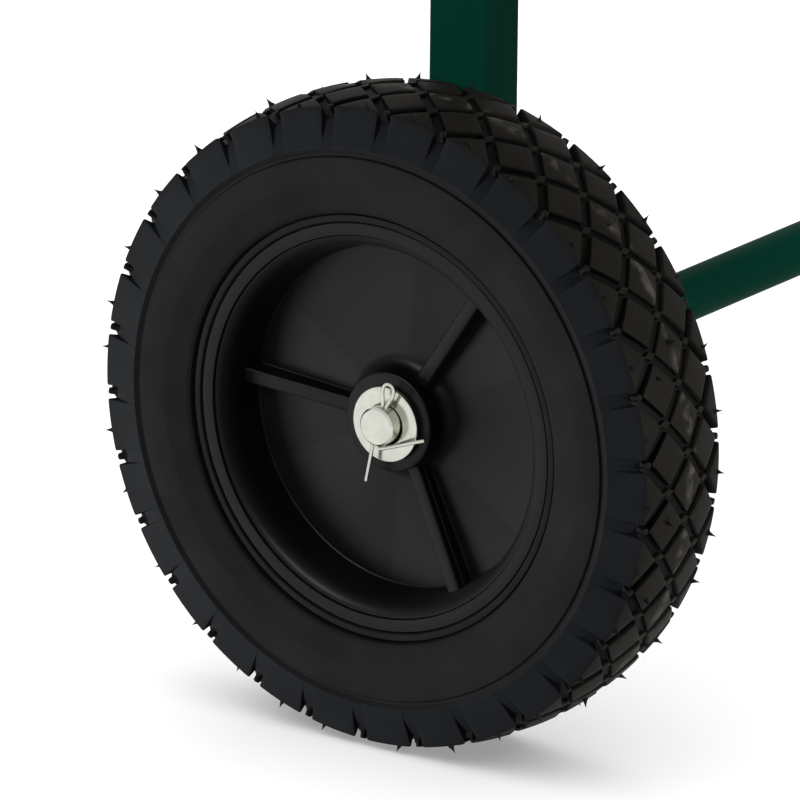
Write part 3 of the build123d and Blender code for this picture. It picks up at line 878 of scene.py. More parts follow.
@dataclass(frozen=True)
class HubPlastic(WheelFinish):
    """Satin black moulded plastic with faint flow lines on the web."""

    roughness: Span = (0.45, 0.42)
    bump: Span = (0.12, 0.06)
    specular: float = 0.035
    cloud_scale: float = 40.0
    grain_scale: float = 2400.0
    colour: Colour = tone(26, 26, 26)
    mottle: Span = (-0.04, 0.04)
    lines: int = 6
    line_angle: float = 25.5
    line_shade: Span = (0.85, 1.15)
    web_start: Span = (17.5, 19.5)
    web_end: Span = (52.5, 51.5)

    def look(self, graph: Graph) -> Look:
        """Flat black whose tone changes in steps at the flow lines.

        Args:
            graph: The material's tree.

        Returns:
            What the shader is fed.
        """
        polar = self.polar(graph)
        turned = graph.sum("ADD", polar["Angle"], math.radians(self.line_angle))
        sector = graph.sum("ADD", graph.product(turned, self.lines / FULL_TURN), float(self.lines))
        starts = graph.zone(polar["Radius"], self.web_start)
        ends = graph.zone(polar["Radius"], self.web_end)
        flow = graph.product(graph.sum("FRACT", sector), graph.product(starts, ends))
        grain = self.texture(graph)
        shades = (graph.between(flow, self.line_shade), graph.between(grain["Mottle"], self.mottle))
        return Look(
            colour=graph.blend(1.0, self.colour, graph.sum("ADD", *shades), "MULTIPLY"),
            gloss=graph.between(grain["Mottle"], self.roughness),
            height=grain["Grain"],
        )


@dataclass(frozen=True)
class ZincPlate(GrainedFinish):
    """Bright zinc plating with faint mottle and fine scratches."""

    roughness: Span = (0.19, 0.23)
    bump: Span = (0.12, 0.05)
    specular: float = 0.5
    metallic: float = 1.0
    cloud_scale: float = 260.0
    grain_scale: float = 3000.0
    bright: Colour = tone(198, 198, 188)
    dull: Colour = tone(188, 189, 180)
    scratch_scale: float = 900.0
    scratch_gloss: float = 0.1

    def look(self, graph: Graph) -> Look:
        """Metal whose tone and gloss change softly.

        Args:
            graph: The material's tree.

        Returns:
            What the shader is fed.
        """
        grain = self.texture(graph)
        marks = graph.effect(Scratches(), {"Scale": self.scratch_scale})["Mask"]
        plain = graph.between(grain["Mottle"], self.roughness)
        return Look(
            colour=graph.blend(grain["Mottle"], self.bright, self.dull),
            gloss=graph.sum("ADD", plain, graph.product(marks, self.scratch_gloss)),
            height=graph.sum("ADD", grain["Grain"], marks),
        )


@dataclass(frozen=True)
class Enamel(GrainedFinish):
    """Dark green gloss enamel over steel tube."""

    roughness: Span = (0.42, 0.48)
    bump: Span = (0.1, 0.12)
    specular: float = 0.008
    cloud_scale: float = 14.0
    grain_scale: float = 420.0
    deep: Colour = tone(4, 43, 33)
    light: Colour = tone(5, 48, 37)
    speck: Colour = tone(30, 70, 58)
    speck_scale: float = 1800.0
    speck_range: Span = (0.74, 0.8)
    speck_share: float = 0.3

    def look(self, graph: Graph) -> Look:
        """Green with a soft change of tone, specks and the orange peel of sprayed paint.

        Args:
            graph: The material's tree.

        Returns:
            What the shader is fed.
        """
        grain = self.texture(graph)
        dots = graph.noise(self.speck_scale, detail=1)
        specks = graph.step(dots, *self.speck_range, 0, self.speck_share)
        plain = graph.blend(grain["Mottle"], self.deep, self.light)
        return Look(
            colour=graph.blend(specks, plain, self.speck),
            gloss=graph.between(grain["Mottle"], self.roughness),
            height=grain["Grain"],
        )


@dataclass(frozen=True)
class BlackMoulding(GrainedFinish):
    """Matt black rubber or plastic of a small moulded piece."""

    colour: Colour = tone(30, 30, 31)
    mottle: Span = (0.78, 1.25)

    def look(self, graph: Graph) -> Look:
        """Black with mottle and fine grain.

        Args:
            graph: The material's tree.

        Returns:
            What the shader is fed.
        """
        grain = self.texture(graph)
        shade = graph.between(grain["Mottle"], self.mottle)
        return Look(
            colour=graph.blend(1.0, self.colour, shade, "MULTIPLY"),
            gloss=graph.between(grain["Mottle"], self.roughness),
            height=grain["Grain"],
        )


@dataclass(frozen=True)
class Plywood(Finish):
    """Sealed plywood: grain along the board on its faces and plies in its edges."""

    roughness: Span = (0.34, 0.52)
    bump: Span = (0.25, 0.12)
    specular: float = 0.2
    pale: Colour = tone(206, 168, 118)
    dark: Colour = tone(160, 116, 70)
    glue: Colour = tone(96, 64, 38)
    plies: int = 11
    facing: Span = (0.5, 0.75)
    stain: float = 0.55
    figure_scale: float = 26.0
    figure_stretch: Triple = (0.14, 0.4, 1)
    figure_rings: float = 70.0
    fibre_scale: float = 900.0
    fibre_stretch: Triple = (0.03, 1, 1)
    fibre_range: Span = (0.5, 0.72)
    fibre_gloss: Span = (0.3, 0.7)
    cross_stain: float = 0.75
    pore_scale: float = 1300.0
    pore_range: Span = (0.6, 0.7)
    pore_stain: float = 0.5
    glue_width: float = 0.06
    glue_stain: float = 0.8

    def look(self, graph: Graph) -> Look:
        """Face grain where the surface looks along Y, and stripes of plies elsewhere.

        Args:
            graph: The material's tree.

        Returns:
            What the shader is fed.
        """
        normal = graph.node("NewGeometry", {}).outputs["Normal"]
        forward = graph.node("SeparateXYZ", {"Vector": normal}).outputs["Y"]
        face = graph.step(graph.sum("ABSOLUTE", forward), *self.facing)
        fibre = graph.noise(self.fibre_scale, self.fibre_stretch, detail=3)
        return Look(
            colour=graph.blend(face, self.edges(graph), self.veneer(graph, fibre)),
            gloss=graph.step(fibre, *self.fibre_gloss, *self.roughness),
            height=fibre,
        )

    def veneer(self, graph: Graph, fibre: Socket) -> Socket:
        """Colour of the faces: broad figure and fine fibres along the board.

        Args:
            graph: The material's tree.
            fibre: Noise of the fibres.

        Returns:
            The socket with the colour.
        """
        broad = graph.noise(self.figure_scale, self.figure_stretch, detail=3)
        growth = graph.sum("SINE", graph.product(broad, self.figure_rings))
        colour = graph.blend(graph.step(growth, -1, 1, 0, self.stain), self.pale, self.dark)
        return graph.blend(graph.step(fibre, *self.fibre_range, 0, self.stain), colour, self.dark)

    def edges(self, graph: Graph) -> Socket:
        """Colour of the edges: plies that cross in turn, with pores and glue lines.

        Args:
            graph: The material's tree.

        Returns:
            The socket with the colour.
        """
        board = Spot.of("transom_board")
        place = graph.node("SeparateXYZ", {"Vector": graph.place()}).outputs["Y"]
        depth = graph.sum("SUBTRACT", place, board.low.y * MM)
        layer = graph.product(depth, self.plies / (board.size.y * MM))
        within = graph.sum("PINGPONG", layer, 0.5)
        crossing = graph.sum("GREATER_THAN", graph.sum("MODULO", layer, 2.0), 1.0)
        dots = graph.step(graph.noise(self.pore_scale), *self.pore_range)
        lines = graph.step(within, self.glue_width, 0.0, 0, self.glue_stain)
        colour = graph.blend(graph.product(crossing, self.cross_stain), self.pale, self.dark)
        colour = graph.blend(graph.product(dots, crossing, self.pore_stain), colour, self.glue)
        return graph.blend(lines, colour, self.glue)


TYRE_RUBBER = TyreRubber("tyre_rubber", "tyre")
HUB_PLASTIC = HubPlastic("hub_moulding", "hub_plastic")
ZINC = ZincPlate("zinc_plate", "zinc_steel")
GREEN = Enamel("green_enamel", "green_paint")
PLUG_PLASTIC = BlackMoulding(
    "plug_moulding", "plug_plastic", colour=tone(28, 28, 29), roughness=(0.4, 0.52), grain_scale=2200.0
)
GRIP_RUBBER = BlackMoulding(
    "grip_moulding", "grip_rubber", colour=tone(31, 31, 32), roughness=(0.55, 0.7), grain_scale=1100.0
)
FOOT_RUBBER = BlackMoulding(
    "foot_moulding", "foot_rubber", colour=tone(36, 36, 36), roughness=(0.6, 0.75), grain_scale=900.0
)
PLYWOOD = Plywood("sealed_plywood", "board_wood")


@dataclass(frozen=True)
class Thread:
    """Metric bolt size and the fasteners of that size, each standing on Z = 0."""

    radius: float
    flats: float
    head: float
    nut_height: float
    pitch: float
    face_share: float = 0.475
    corner_slope: float = 30.0
    bore_ease: float = 0.5
    core_share: float = 0.6
    spare_turns: int = 4
    socket_share: float = 0.62
    socket_depth: Span = (2.4, 2.8)
    head_ease: float = 0.3

    @property
    def threaded(self) -> float:
        """Length of the thread on a bolt."""
        return self.nut_height + self.spare_turns * self.pitch

    def hexagon(self, height: float, bore: float, both_ends: bool) -> Shape:
        """Hexagon stock with turned corners.

        Args:
            height: Its height.
            bore: Radius of its hole, or 0 for none.
            both_ends: Whether its foot is turned like its top.

        Returns:
            The shape, from Z = 0 up.
        """
        corner = self.flats / math.sqrt(3)
        face = self.flats * self.face_share
        fall = (corner - face) * math.tan(math.radians(self.corner_slope))
        foot = [(face, 0.0), (corner, fall)] if both_ends else [(corner, 0.0)]
        ease = self.bore_ease
        inside = [(bore + ease, height), (bore, height - ease), (bore, ease), (bore + ease, 0.0)]
        top = [(corner, height - fall), (face, height)]
        profile = foot + top + (inside if bore else [(0.0, height), (0.0, 0.0)])
        made = Shape().turn(profile, closed=True)
        for side in range(6):
            way = (math.cos(side * FULL_TURN / 6), math.sin(side * FULL_TURN / 6), 0)
            made.cut(Vector(way) * (self.flats / 2), way, keep_all=False)
        return made.tidy()

    def shank(self, length: float) -> list[Point]:
        """Profile of a shank with a threaded end.

        Args:
            length: Height of its tip.

        Returns:
            Points from the foot of the shank to the middle of its tip.
        """
        core = self.radius - self.core_share * self.pitch
        foot = length - self.threaded
        points = [(self.radius, 0.0), (self.radius, foot)]
        for turn in range(int(self.threaded / self.pitch)):
            start = foot + turn * self.pitch
            points += [(core, start + self.pitch / 2), (self.radius, start + self.pitch)]
        points[-1] = (core, length)
        return points + [(0.0, length)]

    def bolt(self, length: float) -> Shape:
        """Hexagon bolt whose head lies below Z = 0.

        Args:
            length: Length of the shank.

        Returns:
            The shape.
        """
        head = self.hexagon(self.head, 0.0, False)
        made = Shape().turn([(0.0, 0.0)] + self.shank(length), steps=24)
        return made.join(head, Matrix.Rotation(math.pi, 4, "X"))

    def sunk_bolt(self, length: float, head_radius: float, head_depth: float) -> Shape:
        """Countersunk bolt with a socket, its flat head in Z = 0.

        Args:
            length: Height of its tip.
            head_radius: Radius of the head.
            head_depth: Depth of the head.

        Returns:
            The shape.
        """
        socket, ease = self.socket_share * self.radius, self.head_ease
        wall, middle = self.socket_depth
        shank = [point for point in self.shank(length) if point[1] > head_depth]
        profile = [(0.0, middle), (socket, wall), (socket, ease), (socket + ease, 0.0)]
        profile += [(head_radius - ease, 0.0), (head_radius, ease), (self.radius, head_depth)]
        return Shape().turn(profile + shank, steps=36)

    def nut(self) -> Shape:
        """Plain hexagon nut."""
        return self.hexagon(self.nut_height, self.radius, True)


M8 = Thread(radius=4.0, flats=13.0, head=5.3, nut_height=6.8, pitch=1.25)
M6 = Thread(radius=3.0, flats=10.0, head=4.0, nut_height=5.2, pitch=1.0)
THREAD_END = 3.0


def fastener_set(node: str, body: str, shape: Shape, places: Iterable[Matrix]) -> None:
    """Make one piece of the fasteners of a node.

    Args:
        node: The CAD node.
        body: Body that they ride on.
        shape: One fastener.
        places: Where each of them goes.
    """
    group = Shape()
    for place in places:
        group.join(shape, place)
    group.piece(f"{node}_set", body, ZINC, [node])


def flat_ring(outer: float, inner: float, thickness: float, edge: float = 0.3) -> Shape:
    """Washer, spacer or round tube with eased edges that stands on Z = 0."""
    corners = [(outer, 0.0, edge), (outer, thickness, edge), (inner, thickness, edge), (inner, 0.0, edge)]
    return Shape().turn(rounded(corners, closed=True, segments=3), steps=64, closed=True)


def ring_along(spot: Spot, bore: float) -> Shape:
    """Washer or round tube along X that fills the box of a CAD node."""
    return flat_ring(spot.size.z / 2, bore, spot.size.x).move(sideways(spot.on_axis(spot.low.x)))


def rectangle(width: float, height: float, corner: float, segments: int) -> list[Point]:
    """Outline of a rectangle with round corners about the origin."""
    corners = [(x * width / 2, y * height / 2, corner) for x, y in ((1, 1), (-1, 1), (-1, -1), (1, -1))]
    return rounded(corners, closed=True, segments=segments)


def square(side: float, corner: float) -> list[Point]:
    """Outline of a square with round corners about the origin."""
    return rectangle(side, side, corner, segments=5)


@dataclass(frozen=True)
class WeldBead:
    """Rippled weld bead round the end of a tube."""

    radius: float = 1.5
    flatness: float = 0.9
    points: int = 10
    ripples: int = 14
    ripple_faces: int = 4
    swell: float = 0.05

    def ring(self, tube: float) -> Shape:
        """Bead round a tube that stands on Z = 0.

        Args:
            tube: Radius of the tube.

        Returns:
            The shape.
        """
        section = [
            (tube + self.radius * math.cos(angle) * self.flatness, self.radius * math.sin(angle))
            for angle in (FULL_TURN * step / self.points for step in range(self.points))
        ]
        made = Shape().turn(section, steps=self.ripples * self.ripple_faces, closed=True)
        for vert in made.bm.verts:
            angle = math.atan2(vert.co.y, vert.co.x)
            swell = 1 + self.swell * abs(math.sin(angle * self.ripples / 2))
            vert.co.x *= swell
            vert.co.y *= swell
        return made


WELD = WeldBead()


@dataclass(frozen=True)
class Whiskers:
    """Short rubber hairs that the mould's vents leave on the lugs and blocks of a tyre."""

    seed: int = 8
    length: float = 2.6
    thorn: tuple[Point, ...] = ((0.0, 0.0), (1.0, 0.0), (0.65, 0.5), (0.3, 1.4))
    sides: int = 7
    inset: float = 1.2
    lug_chance: float = 1.0
    outer_chance: float = 0.15
    middle_chance: float = 0.2
    drift: float = 0.22
    aside: float = 0.6
    sizes: Span = (0.75, 1.2)
    lean: Triple = (0.4, 0.4, 0.2)
    sink: float = 0.1
    floor_gap: float = 0.2
    box_gap: float = 0.1

    def grow(self, tyre: "Tyre") -> Shape:
        """Hairs of one tyre.

        Args:
            tyre: The tyre that they stand on.

        Returns:
            The hairs in the wheel's frame.
        """
        chance = random.Random(self.seed)
        made = Shape()
        pitch = FULL_TURN / tyre.pitches * tyre.radius
        start = math.radians(tyre.phase) * tyre.radius
        thorn = Shape().turn([*self.thorn, (0.0, self.length)], self.sides)
        shoulder = 2 * tyre.row_step - self.inset
        rows = [
            (shoulder, 0.5, self.lug_chance), (-shoulder, 0.5, self.lug_chance),
            (tyre.row_step, 0.0, self.outer_chance), (0.0, 0.5, self.middle_chance),
        ]
        for count in range(tyre.pitches):
            for across, shift, likely in rows:
                along = start + (count + shift + chance.uniform(-self.drift, self.drift)) * pitch
                aside = across + chance.uniform(-self.aside, self.aside)
                size = chance.uniform(*self.sizes)
                lean = Vector([chance.uniform(-most, most) for most in self.lean])
                if chance.random() > likely:
                    continue
                foot = tyre.wrap(along, aside, -self.sink)
                way = (tyre.wrap(along, aside, 1.0) - foot).normalized() + lean
                tip = tyre.place @ (foot + way.normalized() * (self.length * size))
                if tip.z < self.floor_gap or abs(tip.x) > CAD_BOX[1].x / MM - self.box_gap:
                    continue
                turn = way.to_track_quat("Z", "Y").to_matrix().to_4x4()
                made.join(thorn, Matrix.Translation(foot) @ turn @ Matrix.Scale(size, 4))
        return made


@dataclass
class Tyre:
    """Solid rubber tyre with diamond tread and lugs over its shoulders, Z outboard from its middle plane.

    The notches between the lugs run out down the shoulder, and their points are given as the share of the
    way and the depth there. The corners of the side wall are given as radius, depth below the full half
    width, and rounding.
    """

    side: Side
    whiskers: Whiskers = Whiskers()
    tread_depth: float = 3.0
    sink: float = 0.4
    pitches: int = 30
    phase: float = 4.2
    row_step: float = 9.66
    shallow: float = 0.5
    groove: float = 3.5
    groove_floor: float = 2.9
    crown_drop: float = 2.4
    crown_steps: int = 8
    shoulder_lean: float = 0.37
    lug_foot: float = 87.0
    lug_foot_inset: float = 0.03
    lug_share: float = 0.8
    lug_flare: float = 0.25
    lug_elbow: float = 1.5
    lug_draft: float = 0.35
    notch_knee: Point = (0.35, 1.1)
    notch_fade: Point = (0.72, 0.18)
    notch_foot: Point = (1.0, 0.05)
    crease: float = 0.11
    edge: float = 0.25
    cut_step: float = 3.0
    cut_reach: int = 2
    cut_margin: float = 0.2
    tie_reach: float = 3.1
    tie_half: float = 1.5
    tie_fall: float = 0.85
    tie_draft: float = 0.25
    post_radius: float = 1.35
    post_inset: float = 1.0
    post_fall: float = 0.1
    post_draft: float = 0.3
    post_sides: int = 12
    valley_bank: Corner = (86.3, 0.4, 1.5)
    valley: Corner = (85.4, 0.75, 0.8)
    valley_foot: Corner = (84.6, 0.75, 0.4)
    wall_edge: Corner = (84.3, 0.12, 0.6)
    wall_middle: Corner = (76.0, 0.45, 12.0)
    wall_foot: Corner = (68.2, 1.4, 1.4)
    bead_shoulder: Corner = (66.8, 1.75, 0.6)
    bead_bank: Corner = (66.45, 2.7, 0.1)
    bead_groove: Corner = (66.2, 3.6, 0.0)
    bead_edge: Corner = (65.95, 2.75, 0.15)
    rim_edge: Corner = (64.12, 2.75, 0.3)
    rim_seam: Corner = (63.72, 3.2, 0.0)
    seat: float = 59.55
    seat_half: float = 15.65
    wall_steps: int = 240
    radius: float = field(init=False)
    half_width: float = field(init=False)
    place: Matrix = field(init=False)
    top: list[Point] = field(init=False)
    floor: list[Point] = field(init=False)
    stations: list[float] = field(init=False)

    def __post_init__(self) -> None:
        """Take the size and place from the frame."""
        spot = Spot.of(f"{self.side.word}_tyre")
        self.radius = spot.size.z / 2
        self.half_width = spot.size.x / 2
        self.place = outboard(self.side, spot.centre)
        self.top = self.section(0.0)
        self.floor = self.section(self.tread_depth)
        self.stations = [0.0]
        for first, second in zip(self.top, self.top[1:]):
            self.stations.append(self.stations[-1] + math.dist(first, second))

    def section(self, depth: float) -> list[Point]:
        """Half of the tread's section from the middle line over the shoulder to the lug's foot.

        Args:
            depth: Depth below the outside at the shoulder, less on the crown and least at the lug's foot.

        Returns:
            Points as (radius, axial).
        """
        rim = self.radius - self.crown_drop
        reach = 2 * self.row_step - depth * self.shoulder_lean
        crown = []
        for step in range(self.crown_steps):
            share = step / self.crown_steps
            local = depth * (self.shallow + (1 - self.shallow) * share**3)
            crown.append((self.radius - local - self.crown_drop * share**2, reach * share))
        shoulder = Vector((rim, 2 * self.row_step))
        foot = Vector((self.lug_foot, self.half_width - self.lug_foot_inset))
        outward = Vector((foot.y - shoulder.y, shoulder.x - foot.x)).normalized()
        corners = [(*crown[-1], 0.0), (rim - depth, reach, self.edge)]
        for way, sunk in (self.notch_knee, self.notch_fade, self.notch_foot):
            point = shoulder.lerp(foot, way) - outward * (sunk * depth / self.tread_depth)
            corners.append((*point, 0.0))
        return crown + rounded(corners, segments=3)[1:]

    def wrap(self, along: float, across: float, height: float) -> Vector:
        """Point of the tyre for a point of the flat tread.

        Args:
            along: Way round the tyre, at its full radius.
            across: Way over the section from the middle line.
            height: Height over the outside.

        Returns:
            The point in the wheel's frame.
        """
        way = min(abs(across), self.stations[-1] - DOUBLES)
        index = max(i for i, station in enumerate(self.stations) if station <= way)
        share = (way - self.stations[index]) / (self.stations[index + 1] - self.stations[index])
        outer = Vector(self.top[index]).lerp(Vector(self.top[index + 1]), share)
        inner = Vector(self.floor[index]).lerp(Vector(self.floor[index + 1]), share)
        radius, axial = outer + (outer - inner) * (height / self.tread_depth)
        angle = along / self.radius
        return Vector((radius * math.cos(angle), radius * math.sin(angle), math.copysign(axial, across)))

    def block(self, outline: Sequence[Point], draft: float, top: float = 0.0, crease: float = 0.0) -> Shape:
        """Flat tread block with sloping walls and eased edges, wrapped on the tyre.

        Args:
            outline: Corners of its foot as (along, across).
            draft: How far its top is drawn in.
            top: Height of its top over the outside.
            crease: Fall of its top for each millimetre from the middle line.

        Returns:
            The block at angle 0.
        """
        foot = -self.tread_depth
        made = Shape().prism(outline, foot - self.sink, foot).taper(foot, draft, top - foot)
        made.soften(made.level(top), self.edge)
        low = min(across for _, across in outline) + self.cut_margin
        high = max(across for _, across in outline) - self.cut_margin
        for station in self.stations:
            for across in (station, -station):
                if low < across < high:
                    made.cut((0, across, 0), (0, 1, 0))
        for count in range(-self.cut_reach, self.cut_reach + 1):
            made.cut((count * self.cut_step, 0, 0), (1, 0, 0))
        for vert in made.bm.verts:
            fall = crease * abs(vert.co.y) if vert.co.z > foot else 0.0
            vert.co = self.wrap(vert.co.x, vert.co.y, vert.co.z - fall)
        return made.tidy()

    def pitch(self) -> Shape:
        """One pitch of the tread: three diamonds, two lugs, and the ties and posts where grooves cross.

        Returns:
            The pitch in the wheel's frame.
        """
        half_pitch = math.pi / self.pitches * self.radius
        inset = self.groove_floor / 2 * math.hypot(half_pitch, self.row_step)
        draft = (self.groove - self.groove_floor) / 2
        wide = half_pitch - inset / self.row_step
        tall = self.row_step - inset / half_pitch
        apex = self.row_step + inset / half_pitch
        pad = self.lug_share * half_pitch
        end = self.stations[-1]
        wing = pad + self.lug_flare
        elbow = apex + wing * self.row_step / half_pitch
        lug = [(0, apex), (wing, elbow), (pad, elbow + self.lug_elbow), (pad, end)]
        lug += [(-along, across) for along, across in reversed(lug[1:])]
        here, half_way = math.radians(self.phase), math.radians(self.phase + 180 / self.pitches)
        made = Shape()
        rows = [(self.row_step, here, 0.0), (-self.row_step, here, 0.0), (0.0, half_way, self.crease)]
        for across, turn, crease in rows:
            diamond = [(wide, across), (0, across + tall), (-wide, across), (0, across - tall)]
            made.join(self.block(diamond, draft, 0.0, crease), Matrix.Rotation(turn, 4, "Z"))
        for sign in (1, -1):
            outline = [(along, sign * across) for along, across in lug]
            made.join(self.block(outline, self.lug_draft), Matrix.Rotation(half_way, 4, "Z"))
        thick, reach = self.tie_half, self.tie_reach
        for across, turn in ((self.row_step, half_way), (-self.row_step, half_way), (0.0, here)):
            tie = [(thick, across), (0, across + reach), (-thick, across), (0, across - reach)]
            made.join(self.block(tie, self.tie_draft, -self.tie_fall), Matrix.Rotation(turn, 4, "Z"))
        turns = [FULL_TURN * step / self.post_sides for step in range(self.post_sides)]
        post = [(self.post_radius * math.cos(turn), self.post_radius * math.sin(turn)) for turn in turns]
        shoulder = 2 * self.row_step - self.post_inset
        for across in (shoulder, -shoulder):
            ring = [(along, across + aside) for along, aside in post]
            made.join(self.block(ring, self.post_draft, -self.post_fall), Matrix.Rotation(here, 4, "Z"))
        return made

    def carcass(self) -> Shape:
        """Tyre under the tread, with its side walls and beads.

        Returns:
            The shape in the wheel's frame.
        """
        corners = (
            self.valley_bank, self.valley, self.valley_foot,
            self.wall_edge, self.wall_middle, self.wall_foot,
            self.bead_shoulder, self.bead_bank, self.bead_groove, self.bead_edge,
            self.rim_edge, self.rim_seam,
        )
        wall = [(*self.floor[-1], 0.0)]
        wall += [(radius, self.half_width - depth, turn) for radius, depth, turn in corners]
        wall += [(self.rim_seam[0], self.seat_half, 0.0), (self.seat, self.seat_half, 0.0)]
        half = self.floor + rounded(wall)[1:]
        other = [(radius, -axial) for radius, axial in reversed(half[1:])]
        return Shape().turn(half + other, self.wall_steps, closed=True)

    def build(self) -> None:
        """Make the tyre and put it on its wheel."""
        tread = self.pitch()
        everything = tread.bm.verts[:] + tread.bm.edges[:] + tread.bm.faces[:]
        bmesh.ops.spin(
            tread.bm, geom=everything, cent=(0, 0, 0), axis=(0, 0, 1), dvec=(0, 0, 0),
            angle=FULL_TURN * (self.pitches - 1) / self.pitches, steps=self.pitches - 1,
            use_merge=False, use_normal_flip=False, use_duplicate=True,
        )
        bmesh.ops.recalc_face_normals(tread.bm, faces=tread.bm.faces)
        made = self.carcass().join(tread).join(self.whiskers.grow(self)).move(self.place)
        word = self.side.word
        made.piece(f"{word}_tyre_rubber", f"{word}_wheel", TYRE_RUBBER, [f"{word}_tyre"])


@dataclass
class Hub:
    """Moulded hub: rim, dished web, boss and ribs on both faces, Z outboard from the tyre's middle plane."""

    side: Side
    rim_radius: float = 63.4
    mouth: float = 59.25
    mouth_step: float = 0.7
    mouth_round: Point = (4.6, 10.0)
    mouth_sweep: int = 84
    mouth_facet: int = 7
    mouth_groove: Point = (0.4, 0.9)
    lip_ease: float = 0.15
    lip_rounds: Triple = (0.08, 0.1, 0.05)
    seat: float = 59.4
    seat_half: float = 15.8
    web_radius: float = 53.5
    web_face: float = 3.4
    web_back: float = -0.6
    web_fillet: float = 0.7
    boss_radius: float = 15.6
    boss_face: float = 11.3
    boss_draft: Span = (0.1, 0.3)
    boss_edge: float = 0.7
    boss_fillet: float = 4.0
    bore: float = 6.06
    bore_ease: float = 0.6
    back_rounds: Span = (0.4, 0.5)
    back_corner: Corner = (0.4, 1.0, 1.2)
    back_step: Span = (1.0, 0.8)
    back_draft: Span = (0.3, 0.4)
    back_fillet: float = 1.2
    ribs: int = 3
    rib_angle: float = 55.5
    rib_width: float = 4.6
    rib_inner_top: float = 7.5
    rib_outer_top: float = 9.75
    rib_reach: float = 3.0
    rib_sink: float = 1.0
    rib_skirt: float = 0.05
    rib_flare: float = 0.3
    rib_draft: float = 0.1
    rib_edge: float = 0.7
    rib_fillet: float = 1.3
    ledge: float = 0.7
    ledge_top: float = 5.9
    ledge_step: float = 0.15
    ledge_rounds: Span = (0.25, 0.2)
    body_steps: int = 160
    middle: Vector = field(init=False)
    boss_back: float = field(init=False)
    edge: float = field(init=False)

    def __post_init__(self) -> None:
        """Take the place of the rim's face and of the boss's back from the frame."""
        hub = Spot.of(f"{self.side.word}_wheel_hub")
        self.middle = Spot.of(f"{self.side.word}_tyre").centre
        ends = [self.side.value * (x - self.middle.x) for x in (hub.low.x, hub.high.x)]
        self.boss_back, self.edge = sorted(ends)

    def front(self) -> list[Corner]:
        """Outboard half of the section.

        Returns:
            Corners from the bore to the tyre's seat.
        """
        edge, mouth, rim, boss = self.edge, self.mouth, self.rim_radius, self.boss_radius
        lip = edge - self.mouth_step
        top, foot = self.boss_draft
        corners = [
            (self.bore, self.boss_face - self.bore_ease, 0.0),
            (self.bore + self.bore_ease, self.boss_face, 0.0),
            (boss - top, self.boss_face, self.boss_edge),
            (boss + foot, self.web_face, self.boss_fillet),
            (self.web_radius, self.web_face, self.web_fillet),
        ]
        inward, fall = self.mouth_round
        for turn in range(self.mouth_sweep, -1, -self.mouth_facet):
            angle = math.radians(turn)
            corners.append((mouth - inward * math.sin(angle), lip - fall * (1 - math.cos(angle)), 0.0))
        groove, deep = self.mouth_groove
        inner, outer, wall = self.lip_rounds
        return corners + [
            (mouth + groove / 2, lip - deep, 0.0), (mouth + groove, edge, inner),
            (rim - self.lip_ease, edge, outer), (rim, edge - self.lip_ease, wall),
            (rim, self.seat_half, 0.0), (self.seat, self.seat_half, 0.0),
        ]

    def back(self) -> list[Corner]:
        """Inboard half of the section.

        Returns:
            Corners from the tyre's seat to the bore.
        """
        rim, web, boss = self.rim_radius, self.web_radius, self.boss_radius
        outer, inner = self.back_rounds
        out, down, turn = self.back_corner
        step, step_round = self.back_step
        top, foot = self.back_draft
        return [
            (self.seat, -self.seat_half, 0.0), (rim, -self.seat_half, 0.0),
            (rim, -self.edge, outer), (self.mouth, -self.edge, inner),
            (web + out, self.web_back - down, turn), (web - step, self.web_back, step_round),
            (boss + foot, self.web_back, self.back_fillet), (boss - top, self.boss_back, self.boss_edge),
            (self.bore, self.boss_back, 0.0),
        ]

    def rib(self) -> Shape:
        """Rib along X from inside the boss into the rim: its crest rises outwards beside a ledge.

        Returns:
            The rib on the outboard face.
        """
        half = self.rib_width / 2
        wide = half + self.ledge
        foot, skirt = self.web_face - self.rib_sink, self.web_face - self.rib_skirt
        flare = self.rib_fillet + self.rib_flare
        outer, inner = self.ledge_rounds
        section = [
            (-half - flare, foot, 0.0), (wide + flare, foot, 0.0), (wide + flare, skirt, 0.0),
            (wide + self.rib_draft, skirt, self.rib_fillet), (wide, self.ledge_top, outer),
            (half + self.ledge_step, self.ledge_top, inner), (half, self.rib_inner_top, self.rib_edge),
            (-half, self.rib_inner_top, self.rib_edge), (-half - self.rib_draft, skirt, self.rib_fillet),
            (-half - flare, skirt, 0.0),
        ]
        start, end = (self.bore + self.boss_radius) / 2, self.web_radius + self.rib_reach
        made = Shape().prism(rounded(section, closed=True), start, end).move(sideways((0, 0, 0)))
        growth = (self.rib_outer_top - self.rib_inner_top) / (self.rib_inner_top - skirt) / (end - start)
        for vert in made.bm.verts:
            if vert.co.z > skirt:
                vert.co.z += growth * (vert.co.z - skirt) * (vert.co.x - start)
        return made

    def build(self) -> None:
        """Make the hub and put it on its wheel."""
        made = Shape().turn(rounded(self.front() + self.back(), closed=True), self.body_steps, closed=True)
        middle = self.web_face + self.web_back
        flipped = Matrix.Translation((0, 0, middle)) @ Matrix.Scale(-1, 4, (0, 0, 1))
        for count in range(self.ribs):
            turn = Matrix.Rotation(math.radians(self.rib_angle + 360 / self.ribs * count), 4, "Z")
            rib = self.rib()
            made.join(rib, turn).join(rib, flipped @ turn)
        made.tidy().move(outboard(self.side, self.middle))
        word = self.side.word
        made.piece(f"{word}_hub_moulding", f"{word}_wheel", HUB_PLASTIC, [f"{word}_wheel_hub"])


